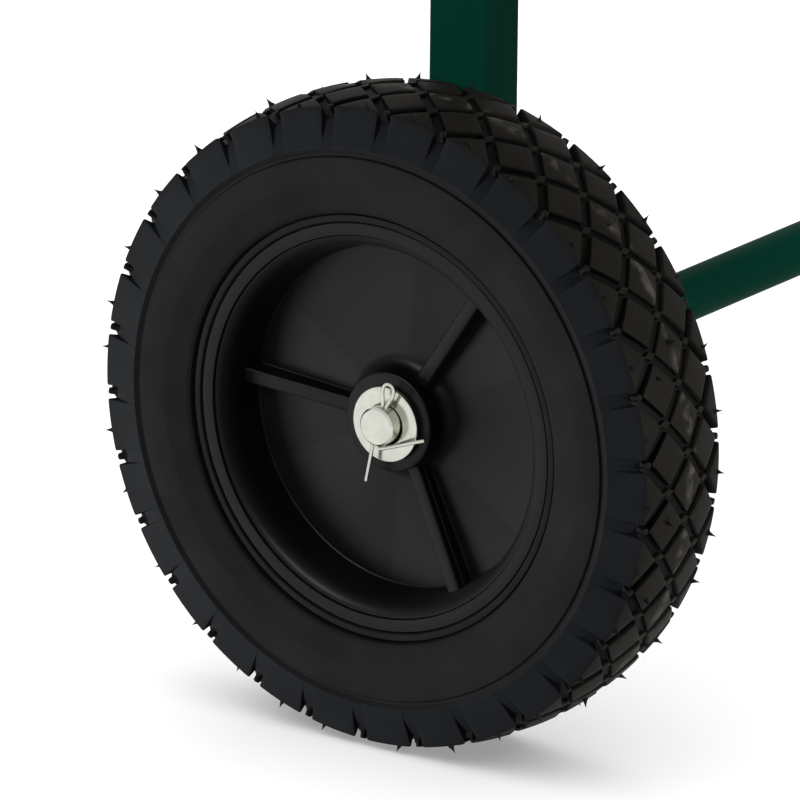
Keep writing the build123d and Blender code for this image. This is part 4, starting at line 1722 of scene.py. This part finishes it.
@dataclass
class AxleSet:
    """Axle rod, the tube round it, washers and split pins."""

    chamfer: float = 0.6
    face_edge: float = 0.3
    face_fall: float = 0.05
    centre_mark: Point = (1.2, 0.35)
    hole_fit: float = 0.2
    washer_fit: float = 0.4
    pin_turn: float = 15.0
    pin_wire: float = 1.2
    pin_gap: float = 0.1
    pin_eye: float = 3.9
    pin_eye_swell: float = 4.0
    pin_eye_height: float = 8.0
    pin_eye_round: float = 0.95
    pin_neck: float = 0.8
    pin_tail_drop: float = 12.2
    pin_tail_lean: float = -0.75
    pin_reach: float = 15.8
    pin_rise: float = 10.8
    pin_bend: float = 1.2
    pin_end_angle: float = 60.0
    pin_end_ease: float = 0.25

    def rod(self) -> None:
        """Round bar with chamfered ends, sawn faces and a centre mark."""
        spot = Spot.of("axle")
        radius, half = spot.size.z / 2, spot.size.x / 2
        flat = radius - self.chamfer
        mark, deep = self.centre_mark
        end = [
            (0.0, half - deep), (mark, half - self.face_fall), (flat - self.face_edge, half), (flat, half),
            (radius, half - self.chamfer),
        ]
        profile = end + [(r, -z) for r, z in reversed(end)]
        Shape().turn(profile).move(sideways(spot.centre)).piece("axle_rod", "frame", ZINC, ["axle"])

    def washers(self) -> None:
        """Plain washers on both sides of each wheel."""
        bore = Spot.of("axle").size.z / 2 + self.washer_fit
        for side in Side:
            for which in ("outer", "inner"):
                node = f"{side.word}_{which}_washer"
                ring_along(Spot.of(node), bore).piece(f"{node}_plate", "frame", ZINC, [node])

    def split_pins(self) -> None:
        """Split pins: the eye up, one leg straight down and one bent aside under the axle."""
        radius = Spot.of("axle").size.z / 2
        half, eye = (self.pin_wire + self.pin_gap) / 2, self.pin_eye / 2
        neck, crown = radius + self.pin_neck, radius + self.pin_eye_height
        swell, low = neck + self.pin_eye_swell, -neck - self.pin_wire
        points = [
            (-half - self.pin_tail_lean, -neck - self.pin_tail_drop), (-half, -neck), (-half, neck),
            (-eye, swell), (-eye, crown), (eye, crown), (eye, swell),
            (half, neck), (half, low), (half + self.pin_reach, low + self.pin_rise),
        ]
        bends = [self.pin_bend] * 3 + [self.pin_eye_round * eye] * 2 + [self.pin_bend] * 3
        corners = [Vector((x, y, 0)) for x, y in points]
        turn = Matrix.Rotation(-math.radians(self.pin_turn), 4, "Z")
        for side in Side:
            node = f"{side.word}_split_pin"
            axle = Spot.of(f"{side.word}_tyre")
            made = Shape().bar(corners, bends, self.pin_wire / 2, sides=12)
            made.soften(made.sharp(self.pin_end_angle), self.pin_end_ease)
            made.move(outboard(side, axle.on_axis(Spot.of(node).centre.x)) @ turn)
            made.piece(f"{node}_wire", "frame", ZINC, [node])

    def tube(self) -> None:
        """Painted tube between the uprights, round the axle."""
        made = ring_along(Spot.of("axle_tube"), Spot.of("axle").size.z / 2 + self.hole_fit)
        made.piece("axle_tube_sleeve", "frame", GREEN, ["axle_tube"])

    def build(self) -> None:
        """Make every piece on the axle."""
        self.rod()
        self.washers()
        self.split_pins()
        self.tube()


@dataclass
class MainFrame:
    """Uprights with their plugs, the upper cross tube, stay hooks and welds."""

    wall: float = 1.5
    corner: float = 1.7
    tube_ease: float = 0.35
    plug_flange: float = 2.5
    plug_dome: float = 1.4
    plug_fit: float = 0.1
    hook_wall: float = 6.0
    hook_ease: float = 0.5
    hook_rounds: tuple[float, ...] = (2.5, 2.0, 2.0, 1.2, 2.4, 2.4)

    def upright(self, side: Side) -> None:
        """Square tube from below the axle to the handle, with its plastic foot plug.

        Args:
            side: Side that it is on.
        """
        node = f"{side.word}_upright"
        spot = Spot.of(node)
        made = Shape().tube(square(spot.size.x, self.corner), self.wall, spot.low.z, spot.high.z)
        made.soften(made.level(spot.high.z), self.tube_ease)
        made.move(Matrix.Translation((spot.centre.x, spot.centre.y, 0)))
        made.piece(f"{node}_tube", "frame", GREEN, [node])
        foot = Spot.of(f"{node}_plug")
        plug = self.plug(foot.size.x, foot.size.z - self.plug_flange)
        plug.move(Matrix.Translation((foot.centre.x, foot.centre.y, foot.low.z + self.plug_flange)))
        plug.piece(f"{node}_end_plug", "frame", PLUG_PLASTIC, [f"{node}_plug"])

    def plug(self, side: float, depth: float) -> Shape:
        """Tube plug whose domed flange lies below Z = 0.

        Args:
            side: Outside of the tube.
            depth: Depth of the part inside the tube.

        Returns:
            The shape.
        """
        inside = side - 2 * self.wall - 2 * self.plug_fit
        flange = Shape().prism(square(side, self.corner), -self.plug_flange, 0.0)
        flange.soften(flange.level(-self.plug_flange), self.plug_dome, segments=4)
        return flange.join(Shape().prism(square(inside, self.corner - self.wall), 0.0, depth))

    def cross_tube(self) -> None:
        """Round tube between the uprights under the board."""
        spot = Spot.of("upper_cross_tube")
        made = ring_along(spot, spot.size.z / 2 - self.wall)
        made.piece("upper_cross_bar", "frame", GREEN, ["upper_cross_tube"])

    def hook(self, side: Side) -> None:
        """Open hook plate welded inside an upright.

        Args:
            side: Side that it is on.
        """
        node = f"{side.word}_stay_hook"
        spot = Spot.of(node)
        floor = spot.low.z + self.hook_wall
        tip = spot.low.y + self.hook_wall
        outline = [
            (spot.low.y, spot.low.z), (spot.high.y, spot.low.z), (spot.high.y, floor),
            (tip, floor), (tip, spot.high.z), (spot.low.y, spot.high.z),
        ]
        corners = [(*point, turn) for point, turn in zip(outline, self.hook_rounds)]
        made = Shape().prism(rounded(corners, closed=True), 0.0, spot.size.x)
        made.soften(made.level(0.0) + made.level(spot.size.x), self.hook_ease)
        made.move(sideways((spot.low.x, 0, 0)))
        made.piece(f"{node}_plate", "frame", GREEN, [node])

    def welds(self) -> None:
        """Weld beads where the round tubes meet the uprights."""
        made = Shape()
        for node in ("axle_tube", "upper_cross_tube"):
            spot = Spot.of(node)
            bead = WELD.ring(spot.size.z / 2)
            for x in (spot.low.x, spot.high.x):
                made.join(bead, sideways(spot.on_axis(x)))
        made.piece("frame_weld_beads", "frame", GREEN)

    def build(self) -> None:
        """Make every piece of the frame."""
        for side in Side:
            self.upright(side)
            self.hook(side)
        self.cross_tube()
        self.welds()


@dataclass
class TransomBoard:
    """Plywood board across the uprights with its bolts."""

    corner: float = 14.0
    ease: float = 2.0
    inset: float = 32.0
    recess: float = 0.3
    head_radius: float = 8.0
    head_depth: float = 4.4
    clearance: float = 0.15
    washer_radius: float = 8.0
    washer: float = 1.6
    hole_sides: int = 36
    ease_steps: int = 4
    corner_steps: int = 8
    spot: Spot = field(init=False)
    back: float = field(init=False)
    places: list[Point] = field(init=False)

    def __post_init__(self) -> None:
        """Take the board's and uprights' places from the frame."""
        self.spot = Spot.of("transom_board")
        upright = Spot.of("right_upright")
        self.back = upright.high.y
        lows = (self.spot.low.z + self.inset, self.spot.high.z - self.inset)
        self.places = [(side.value * upright.centre.x, z) for side in Side for z in lows]

    def holed_face(self, shape: Shape, radius: float, height: float, outline: Sequence[Point]) -> list:
        """Face of the board with its four holes.

        Args:
            shape: Shape to add it to.
            radius: Radius of the holes.
            height: Height at which the face lies.
            outline: Outline of the face.

        Returns:
            The edges of the holes, one list for each.
        """
        edges = self.loop(shape, outline, height)
        holes = []
        for x, y in self.places:
            made = bmesh.ops.create_circle(
                shape.bm, cap_ends=False, radius=radius, segments=self.hole_sides,
                matrix=Matrix.Translation((x, y, height)),
            )["verts"]
            holes.append(list({edge for vert in made for edge in vert.link_edges}))
        flat = edges + [edge for hole in holes for edge in hole]
        bmesh.ops.triangle_fill(shape.bm, use_beauty=True, edges=flat)
        return holes

    def loop(self, shape: Shape, outline: Sequence[Point], height: float) -> Edges:
        """Add a closed loop of edges through the corners of an outline, at a height."""
        verts = [shape.bm.verts.new((x, y, height)) for x, y in outline]
        return [shape.bm.edges.new(pair) for pair in zip(verts, verts[1:] + verts[:1])]

    def outline(self, shrink: float) -> list[Point]:
        """Outline of the board.

        Args:
            shrink: How far it is drawn in.

        Returns:
            Points as (x, z).
        """
        wide, tall = self.spot.size.x - 2 * shrink, self.spot.size.z - 2 * shrink
        points = rectangle(wide, tall, self.corner - shrink, self.corner_steps)
        return [(x, z + self.spot.centre.z) for x, z in points]

    def panel(self) -> None:
        """The board, with eased edges and countersunk holes."""
        thick = self.spot.size.y
        made = Shape()
        wide, shank = self.head_radius + self.clearance, M8.radius + self.clearance
        holes = self.holed_face(made, wide, thick, self.outline(self.ease))
        self.holed_face(made, shank, 0.0, self.outline(self.ease))
        seat = thick - self.recess
        for hole, (x, y) in zip(holes, self.places):
            ring, height, radius = hole, thick, wide
            middle = Matrix.Translation((-x, -y, 0))
            for low, narrow in ((seat, wide), (seat - self.head_depth, shank), (0.0, shank)):
                ring = made.run(ring, Vector((0, 0, low - height)))
                verts = list({vert for edge in ring for vert in edge.verts})
                share = narrow / radius
                bmesh.ops.scale(made.bm, vec=(share, share, 1), verts=verts, space=middle)
                height, radius = low, narrow
        angles = [math.pi / 2 * step / self.ease_steps for step in range(self.ease_steps + 1)]
        rows = [(self.ease * (1 - math.sin(a)), self.ease * (1 - math.cos(a))) for a in angles]
        rows += [(shrink, thick - low) for shrink, low in reversed(rows)]
        loops = [self.loop(made, self.outline(shrink), height) for shrink, height in rows]
        for lower, upper in zip(loops, loops[1:]):
            bmesh.ops.bridge_loops(made.bm, edges=lower + upper)
        made.tidy().move(placed((0, self.spot.high.y, 0), (0, -1, 0), (1, 0, 0)))
        made.piece("transom_board_plywood", "frame", PLYWOOD, ["transom_board"])

    def fasteners(self) -> None:
        """Bolts, washers and nuts of the board."""
        head = self.spot.low.y + self.recess
        length = self.back - head + self.washer + M8.nut_height + THREAD_END
        washer = flat_ring(self.washer_radius, M8.radius + self.clearance, self.washer)
        bolt = M8.sunk_bolt(length, self.head_radius, self.head_depth)
        fastener_set("board_bolts", "frame", bolt, self.through(head))
        fastener_set("board_washers", "frame", washer, self.through(self.back))
        fastener_set("board_nuts", "frame", M8.nut(), self.through(self.back + self.washer))

    def through(self, y: float) -> list[Matrix]:
        """Frames at some Y on the bolts' middle lines, with Z to the back."""
        return [placed((x, y, z), (0, 1, 0), (1, 0, 0)) for x, z in self.places]

    def build(self) -> None:
        """Make the board and its fasteners."""
        self.panel()
        self.fasteners()


@dataclass
class Handles:
    """Bent handle tubes with rubber grips, bolted in the heads of the uprights."""

    rise: float = 40.0
    bend: float = 70.0
    lean: float = 55.0
    reach: float = 130.0
    bolt_depth: float = 22.0
    grip_radius: float = 14.0
    grip_flange: float = 18.0
    grip_fit: float = 0.05
    grip_length: float = 112.0
    flange_width: float = 4.0
    flange_rounds: Span = (1.2, 1.4)
    flange_foot: Span = (3.0, 2.0)
    end_wall: float = 4.0
    end_round: float = 3.2
    rings: int = 8
    ring_shift: float = 3.6
    ring_width: float = 3.0
    ring_depth: float = 1.2
    ring_round: float = 0.5

    def path(self, side: Side) -> list[Vector]:
        """Middle line of a handle.

        Args:
            side: Side that it is on.

        Returns:
            Its ends and corner.
        """
        upright, handle = Spot.of(f"{side.word}_upright"), Spot.of(f"{side.word}_handle")
        lean = math.radians(self.lean)
        x, y, top = upright.centre.x, upright.centre.y, upright.high.z
        tangent = self.bend * math.tan(lean / 2)
        corner = Vector((x, y, top + self.rise + tangent))
        end = corner + Vector((0, math.sin(lean), math.cos(lean))) * (tangent + self.reach)
        return [Vector((x, y, handle.low.z)), corner, end]

    def grip_profile(self, bore: float) -> list[Point]:
        """Section of a grip, with Z = 0 at the end of its tube.

        Args:
            bore: Radius of its hole.

        Returns:
            Points as (radius, height).
        """
        start = self.flange_width - self.grip_length
        step = -start / (self.rings + 1)
        outer, inner = self.flange_rounds
        slope, turn = self.flange_foot
        corners = [
            (bore, -self.grip_length, 0.0), (self.grip_flange, -self.grip_length, outer),
            (self.grip_flange, start, inner), (self.grip_radius, start + slope, turn),
        ]
        half, low, turn = self.ring_width / 2, self.grip_radius - self.ring_depth, self.ring_round
        for count in range(1, self.rings + 1):
            middle = start + step * count + self.ring_shift
            corners += [(self.grip_radius, middle - half, turn), (low, middle - half / 2, turn)]
            corners += [(low, middle + half / 2, turn), (self.grip_radius, middle + half, turn)]
        corners += [(self.grip_radius, self.end_wall, self.end_round), (0.0, self.end_wall, 0.0)]
        corners += [(0.0, 0.0, 0.0), (bore, 0.0, 0.0)]
        return rounded(corners, closed=True, segments=3)

    def build(self) -> None:
        """Make both handles, their grips and their bolts."""
        for side in Side:
            word = side.word
            path = self.path(side)
            radius = Spot.of(f"{word}_handle").size.x / 2
            tube = Shape().bar(path, [self.bend], radius, sides=32)
            tube.piece(f"{word}_handle_tube", "frame", GREEN, [f"{word}_handle"])
            grip = Shape().turn(self.grip_profile(radius + self.grip_fit), closed=True)
            grip.move(placed(path[2], path[2] - path[1], (1, 0, 0)))
            grip.piece(f"{word}_grip_sleeve", "frame", GRIP_RUBBER, [f"{word}_grip"])
        upright = Spot.of("right_upright")
        place = Vector((0, upright.centre.y, upright.high.z - self.bolt_depth))
        bolt = M6.bolt(upright.size.x + M6.nut_height + THREAD_END)
        fastener_set("handle_bolts", "frame", bolt, both_sides(upright.high.x, place))
        fastener_set("handle_nuts", "frame", M6.nut(), both_sides(upright.low.x, place))


@dataclass
class Stand:
    """Folding stand: two legs on pivot bolts, a cross tube, feet and plugs."""

    frame_sizes: MainFrame
    angle: float = 32.0
    leg_side: float = 20.0
    leg_gap: float = 10.0
    above_pivot: float = 14.0
    cross_below: float = 600.0
    plug_clear: float = 2.0
    foot_side: float = 27.0
    foot_corner: float = 4.0
    foot_sleeve: float = 30.0
    foot_sole: float = 6.0
    foot_ease: float = 1.0
    sole_ease: float = 0.9
    sole_skin: float = 0.01
    spacer_radius: float = 8.0
    spacer_fit: float = 0.15
    side_play: float = 0.3
    stay_below: float = 320.0
    stay_gap: float = 0.4
    stay_thickness: float = 3.0
    pivot: Vector = field(init=False)
    place: Matrix = field(init=False)
    length: float = field(init=False)
    upright_inner: float = field(init=False)
    upright_outer: float = field(init=False)
    leg_outer: float = field(init=False)
    leg_inner: float = field(init=False)
    leg_middle: float = field(init=False)

    def __post_init__(self) -> None:
        """Take the pivot from the stand's joint and the leg's length from the floor."""
        joint = next(joint for joint in frame["joints"] if joint["name"] == "stand_fold")
        self.pivot = Vector(joint["pos_m"]) / MM
        self.place = Matrix.Translation(self.pivot) @ Matrix.Rotation(-math.radians(self.angle), 4, "X")
        lean = math.radians(self.angle)
        drop = self.pivot.z - self.foot_sole - self.leg_side / 2 * math.sin(lean)
        self.length = drop / math.cos(lean)
        upright = Spot.of("right_upright")
        self.upright_inner, self.upright_outer = upright.low.x, upright.high.x
        self.leg_outer = self.upright_inner - self.leg_gap
        self.leg_inner = self.leg_outer - self.leg_side
        self.leg_middle = self.leg_outer - self.leg_side / 2

    def leg(self, side: Side) -> None:
        """Square tube leg with its plastic head plug.

        Args:
            side: Side that it is on.
        """
        sizes = self.frame_sizes
        x = side.value * self.leg_middle
        made = Shape().tube(square(self.leg_side, sizes.corner), sizes.wall, -self.length, self.above_pivot)
        made.move(self.place @ Matrix.Translation((x, 0, 0)))
        made.piece(f"{side.word}_leg_tube", "stand", GREEN, [f"{side.word}_leg"])
        plug = sizes.plug(self.leg_side, self.above_pivot - M8.radius - self.plug_clear)
        head = Matrix.Translation((x, 0, self.above_pivot)) @ Matrix.Rotation(math.pi, 4, "X")
        plug.move(self.place @ head)
        plug.piece(f"{side.word}_leg_end_plug", "stand", PLUG_PLASTIC, [f"{side.word}_leg_plug"])

    def foot(self, side: Side) -> None:
        """Rubber boot on a leg, cut flat where it stands on the floor.

        Args:
            side: Side that it is on.
        """
        length = self.foot_sleeve + 2 * self.foot_side
        made = Shape().prism(square(self.foot_side, self.foot_corner), -length, 0.0)
        made.soften(made.level(0.0), self.foot_ease, segments=3)
        top = self.foot_sleeve - self.length
        made.move(self.place @ Matrix.Translation((side.value * self.leg_middle, 0, top)))
        made.cut((0, 0, 0), (0, 0, -1), keep_all=False)
        sole = [edge for edge in made.bm.edges if all(vert.co.z < self.sole_skin for vert in edge.verts)]
        made.soften(sole, self.sole_ease, segments=3)
        made.tidy()
        made.piece(f"{side.word}_foot_boot", "stand", FOOT_RUBBER, [f"{side.word}_foot"])

    def cross_tube(self) -> None:
        """Round tube between the legs, with its weld beads."""
        radius = Spot.of("upper_cross_tube").size.z / 2
        ends = {side: sideways((side.value * self.leg_inner, 0, -self.cross_below)) for side in Side}
        made = flat_ring(radius, radius - self.frame_sizes.wall, 2 * self.leg_inner)
        made.move(self.place @ ends[Side.LEFT])
        made.piece("stand_cross_bar", "stand", GREEN, ["stand_cross_tube"])
        beads = Shape()
        for end in ends.values():
            beads.join(WELD.ring(radius), self.place @ end)
        beads.piece("stand_weld_beads", "stand", GREEN)

    def pivots(self) -> None:
        """Pivot bolts, spacers and nuts of the legs."""
        length = self.upright_outer - self.leg_inner + self.side_play + M8.nut_height + THREAD_END
        spacer = flat_ring(self.spacer_radius, M8.radius + self.spacer_fit, self.leg_gap - self.side_play)
        nut_seat = self.leg_inner - self.side_play
        fastener_set("pivot_bolts", "frame", M8.bolt(length), both_sides(self.upright_outer, self.pivot))
        fastener_set("pivot_spacers", "frame", spacer, both_sides(self.upright_inner, self.pivot))
        fastener_set("pivot_nuts", "frame", M8.nut(), both_sides(nut_seat, self.pivot))

    def stay_pivots(self) -> None:
        """Bolts and nuts on which the stays turn."""
        start = self.leg_outer + self.stay_gap + self.stay_thickness + self.side_play
        length = start - self.leg_inner + M6.nut_height + THREAD_END
        place = self.place @ Vector((0, 0, -self.stay_below))
        fastener_set("stay_bolts", "stand", M6.bolt(length), both_sides(start, place))
        fastener_set("stay_nuts", "stand", M6.nut(), both_sides(self.leg_inner, place))

    def build(self) -> None:
        """Make every piece of the stand."""
        for side in Side:
            self.leg(side)
            self.foot(side)
        self.cross_tube()
        self.pivots()
        self.stay_pivots()


@dataclass
class Stays:
    """Flat stay bars from the legs to the hooks on the uprights, with their studs."""

    stand: Stand
    width: float = 18.0
    edge_ease: float = 0.45
    end_steps: int = 10
    hook_below: float = 300.0
    stud_radius: float = 4.0
    stud_ease: float = 0.4
    rivet_radius: float = 3.0
    rivet_crown: Point = (2.2, 0.05)
    rivet_rise: float = 0.25
    side_play: float = 0.3

    def bar(self, side: Side) -> None:
        """Flat bar with round ends and its stud.

        Args:
            side: Side that it is on.
        """
        stand, word = self.stand, side.word
        start = stand.place @ Vector((0, 0, -stand.stay_below))
        end = stand.pivot - Vector((0, 0, self.hook_below))
        reach, thick = end - start, stand.stay_thickness
        half, far = self.width / 2, reach.length + self.width / 2
        corners = [(-half, -half, half), (far, -half, half), (far, half, half), (-half, half, half)]
        made = Shape().prism(rounded(corners, closed=True, segments=self.end_steps), 0.0, thick)
        made.soften(made.level(0.0) + made.level(thick), self.edge_ease)
        inner = stand.leg_outer + stand.stay_gap
        low = inner if side is Side.RIGHT else -inner - thick
        made.move(placed((low, start.y, start.z), (1, 0, 0), reach))
        made.piece(f"{word}_stay_bar_flat", f"{word}_stay_bar", ZINC, [f"{word}_stay"])
        stud = self.stud(stand.upright_inner - self.side_play - inner)
        stud.move(outboard(side, (side.value * inner, end.y, end.z)))
        stud.piece(f"{word}_stay_stud_pin", f"{word}_stay_bar", ZINC, [f"{word}_stay_stud"])

    def stud(self, length: float) -> Shape:
        """Stud through the bar, riveted below Z = 0.

        Args:
            length: Height of its tip.

        Returns:
            The shape.
        """
        neck, rivet, rise = self.stand.stay_thickness, self.rivet_radius, self.rivet_rise
        flat, fall = self.rivet_crown
        return Shape().turn([
            (0.0, -rise), (flat, fall - rise), (rivet, 0.0), (rivet, neck), (self.stud_radius, neck),
            (self.stud_radius, length - self.stud_ease), (self.stud_radius - self.stud_ease, length),
            (0.0, length),
        ], steps=32)

    def build(self) -> None:
        """Make both stays."""
        for side in Side:
            self.bar(side)


@dataclass
class Studio:
    """White floor, soft lights and the camera."""

    floor_size: float = 60.0
    lamp_distance: float = 3.2
    floor_glow: float = 0.3
    shadow_floor: Point = (0.9, 3.0)
    paper_white: float = 0.95
    paper_rough: float = 0.9
    floor_bounce: float = 0.1
    world_light: float = 0.07
    white_rays: tuple[str, ...] = ("Camera", "Glossy", "Transmission")
    camera_from_wheel: Vector = field(default_factory=lambda: Vector((-2823.7, -1973.5, 1101.4)))
    camera_way: Vector = field(default_factory=lambda: Vector((0.7805, 0.5465, -0.3035)))
    camera_roll: float = 0.62
    lens: float = 540.0
    sensor: float = 36.0
    paper: bpy.types.Object = field(init=False)

    def seen(self, graph: Graph) -> Socket:
        """Mask of the rays that show the white background: those of the camera, mirrors and glass."""
        path = graph.node("LightPath", {}).outputs
        return graph.fold("MAXIMUM", *(path[f"Is {ray} Ray"] for ray in self.white_rays))

    def floor(self) -> None:
        """Pale floor that shows white to the camera and keeps the shadow."""
        mesh = bpy.data.meshes.new("floor")
        bm = bmesh.new()
        bmesh.ops.create_grid(bm, x_segments=1, y_segments=1, size=self.floor_size / 2)
        bm.to_mesh(mesh)
        bm.free()
        material = bpy.data.materials.new("floor_paper")
        material.use_nodes = True
        tree = material.node_tree
        graph = Graph(tree)
        seen = self.seen(graph)
        paper = tree.nodes["Principled BSDF"].inputs
        graph.feed(paper["Base Color"], graph.between(seen, (self.floor_bounce, self.paper_white)))
        graph.feed(paper["Roughness"], self.paper_rough)
        graph.feed(paper["Specular IOR Level"], 0.0)
        glow = graph.node("Emission", {"Color": (1, 1, 1, 1), "Strength": 1.0}).outputs[0]
        apart = graph.node("VectorMath", {"Vector": graph.place()}, operation="LENGTH").outputs["Value"]
        white = graph.step(apart, *self.shadow_floor, self.floor_glow, 1.0)
        mixed = graph.node("MixShader", {"Fac": graph.sum("MULTIPLY", seen, white)})
        tree.links.new(tree.nodes["Principled BSDF"].outputs[0], mixed.inputs[1])
        tree.links.new(glow, mixed.inputs[2])
        tree.links.new(mixed.outputs[0], tree.nodes["Material Output"].inputs["Surface"])
        mesh.materials.append(material)
        self.paper = bpy.data.objects.new("floor", mesh)
        self.paper.visible_shadow = False
        bpy.context.scene.collection.objects.link(self.paper)

    def world(self) -> None:
        """Even pale light from all round."""
        world = bpy.data.worlds.new("studio")
        bpy.context.scene.world = world
        world.use_nodes = True
        graph = Graph(world.node_tree)
        strength = graph.between(self.seen(graph), (self.world_light, 1.0))
        background = world.node_tree.nodes["Background"]
        background.inputs["Color"].default_value = (1, 1, 1, 1)
        world.node_tree.links.new(strength, background.inputs["Strength"])

    def dressed(self, finish: Finish) -> list[bpy.types.Object]:
        """Pieces of one finish."""
        return [piece for piece in bpy.context.scene.objects if piece.active_material == finish.material()]

    def lamp(
        self, name: str, way: Sequence[float], size: float, level: float,
        only: Sequence[bpy.types.Object] = (), but: Sequence[bpy.types.Object] = (),
    ) -> bpy.types.Object:
        """Square lamp that faces the left wheel.

        Args:
            name: Its name.
            way: Way from the wheel to the lamp.
            size: Length of its side in metres.
            level: Light that it gives the wheel; at 1 a matt colour shows as it is written.
            only: The objects that it lights, where it does not light them all.
            but: Objects that it does not light.

        Returns:
            The lamp.
        """
        light = bpy.data.lights.new(name, "AREA")
        light.size = size
        light.energy = level * (math.pi * self.lamp_distance) ** 2
        lamp = bpy.data.objects.new(name, light)
        away = Vector(way).normalized()
        lamp.location = Spot.of("left_tyre").centre * MM + away * self.lamp_distance
        lamp.rotation_mode = "QUATERNION"
        lamp.rotation_quaternion = (-away).to_track_quat("-Z", "Y")
        lamp.visible_camera = False
        linked = bpy.data.collections.new(f"linked_to_{name}")
        for piece in [*only, *but]:
            linked.objects.link(piece)
        for link in linked.collection_objects:
            link.light_linking.link_state = "INCLUDE" if only else "EXCLUDE"
        lamp.light_linking.receiver_collection = linked
        bpy.context.scene.collection.objects.link(lamp)
        return lamp

    def camera(self) -> None:
        """Camera at the photograph's viewing angle."""
        data = bpy.data.cameras.new("camera")
        data.lens = self.lens
        data.sensor_width = self.sensor
        camera = bpy.data.objects.new("camera", data)
        camera.location = (Spot.of("left_tyre").centre + self.camera_from_wheel) * MM
        camera.rotation_mode = "QUATERNION"
        roll = Quaternion((0, 0, 1), math.radians(self.camera_roll))
        camera.rotation_quaternion = self.camera_way.to_track_quat("-Z", "Y") @ roll
        bpy.context.scene.collection.objects.link(camera)
        bpy.context.scene.camera = camera

    def build(self) -> None:
        """Set up the studio."""
        bpy.context.scene.view_settings.view_transform = "Standard"
        self.floor()
        self.world()
        floor, hubs = [self.paper], self.dressed(HUB_PLASTIC)
        zinc, green = self.dressed(ZINC), self.dressed(GREEN)
        self.lamp("key", way=(-0.677, 0.69, -0.253), size=1.2, level=1.0, but=floor + zinc + green)
        self.lamp("side", way=(-0.85, 0.1, 0.5), size=1.0, level=0.95, only=green)
        self.lamp("fill", way=(0.1, -0.95, 0.16), size=0.8, level=0.85, but=floor + zinc)
        self.lamp("top", way=(-0.05, 0.0, 1.0), size=1.0, level=0.25, but=floor + zinc)
        rear = self.lamp("rear", way=(0.75, 0.5, 0.45), size=1.5, level=0.5, but=floor + zinc)
        rear.visible_glossy = False
        glint = self.lamp("glint", way=(-0.77, 0.12, 0.66), size=0.9, level=3.0, only=hubs)
        glint.visible_diffuse = False
        self.lamp("over", way=(0.0, 0.0, 1.0), size=9.0, level=5.4, only=floor)
        self.camera()


def main() -> None:
    """Build every sub-assembly, then the studio."""
    logging.basicConfig(level=logging.INFO, format="%(name)s: %(message)s")
    main_frame = MainFrame()
    stand = Stand(main_frame)
    parts = [Tyre(side) for side in Side] + [Hub(side) for side in Side]
    parts += [AxleSet(), main_frame, TransomBoard(), Handles(), stand, Stays(stand), Studio()]
    for part in parts:
        LOG.info("building %s", type(part).__name__)
        part.build()


if __name__ == "__main__":
    main()
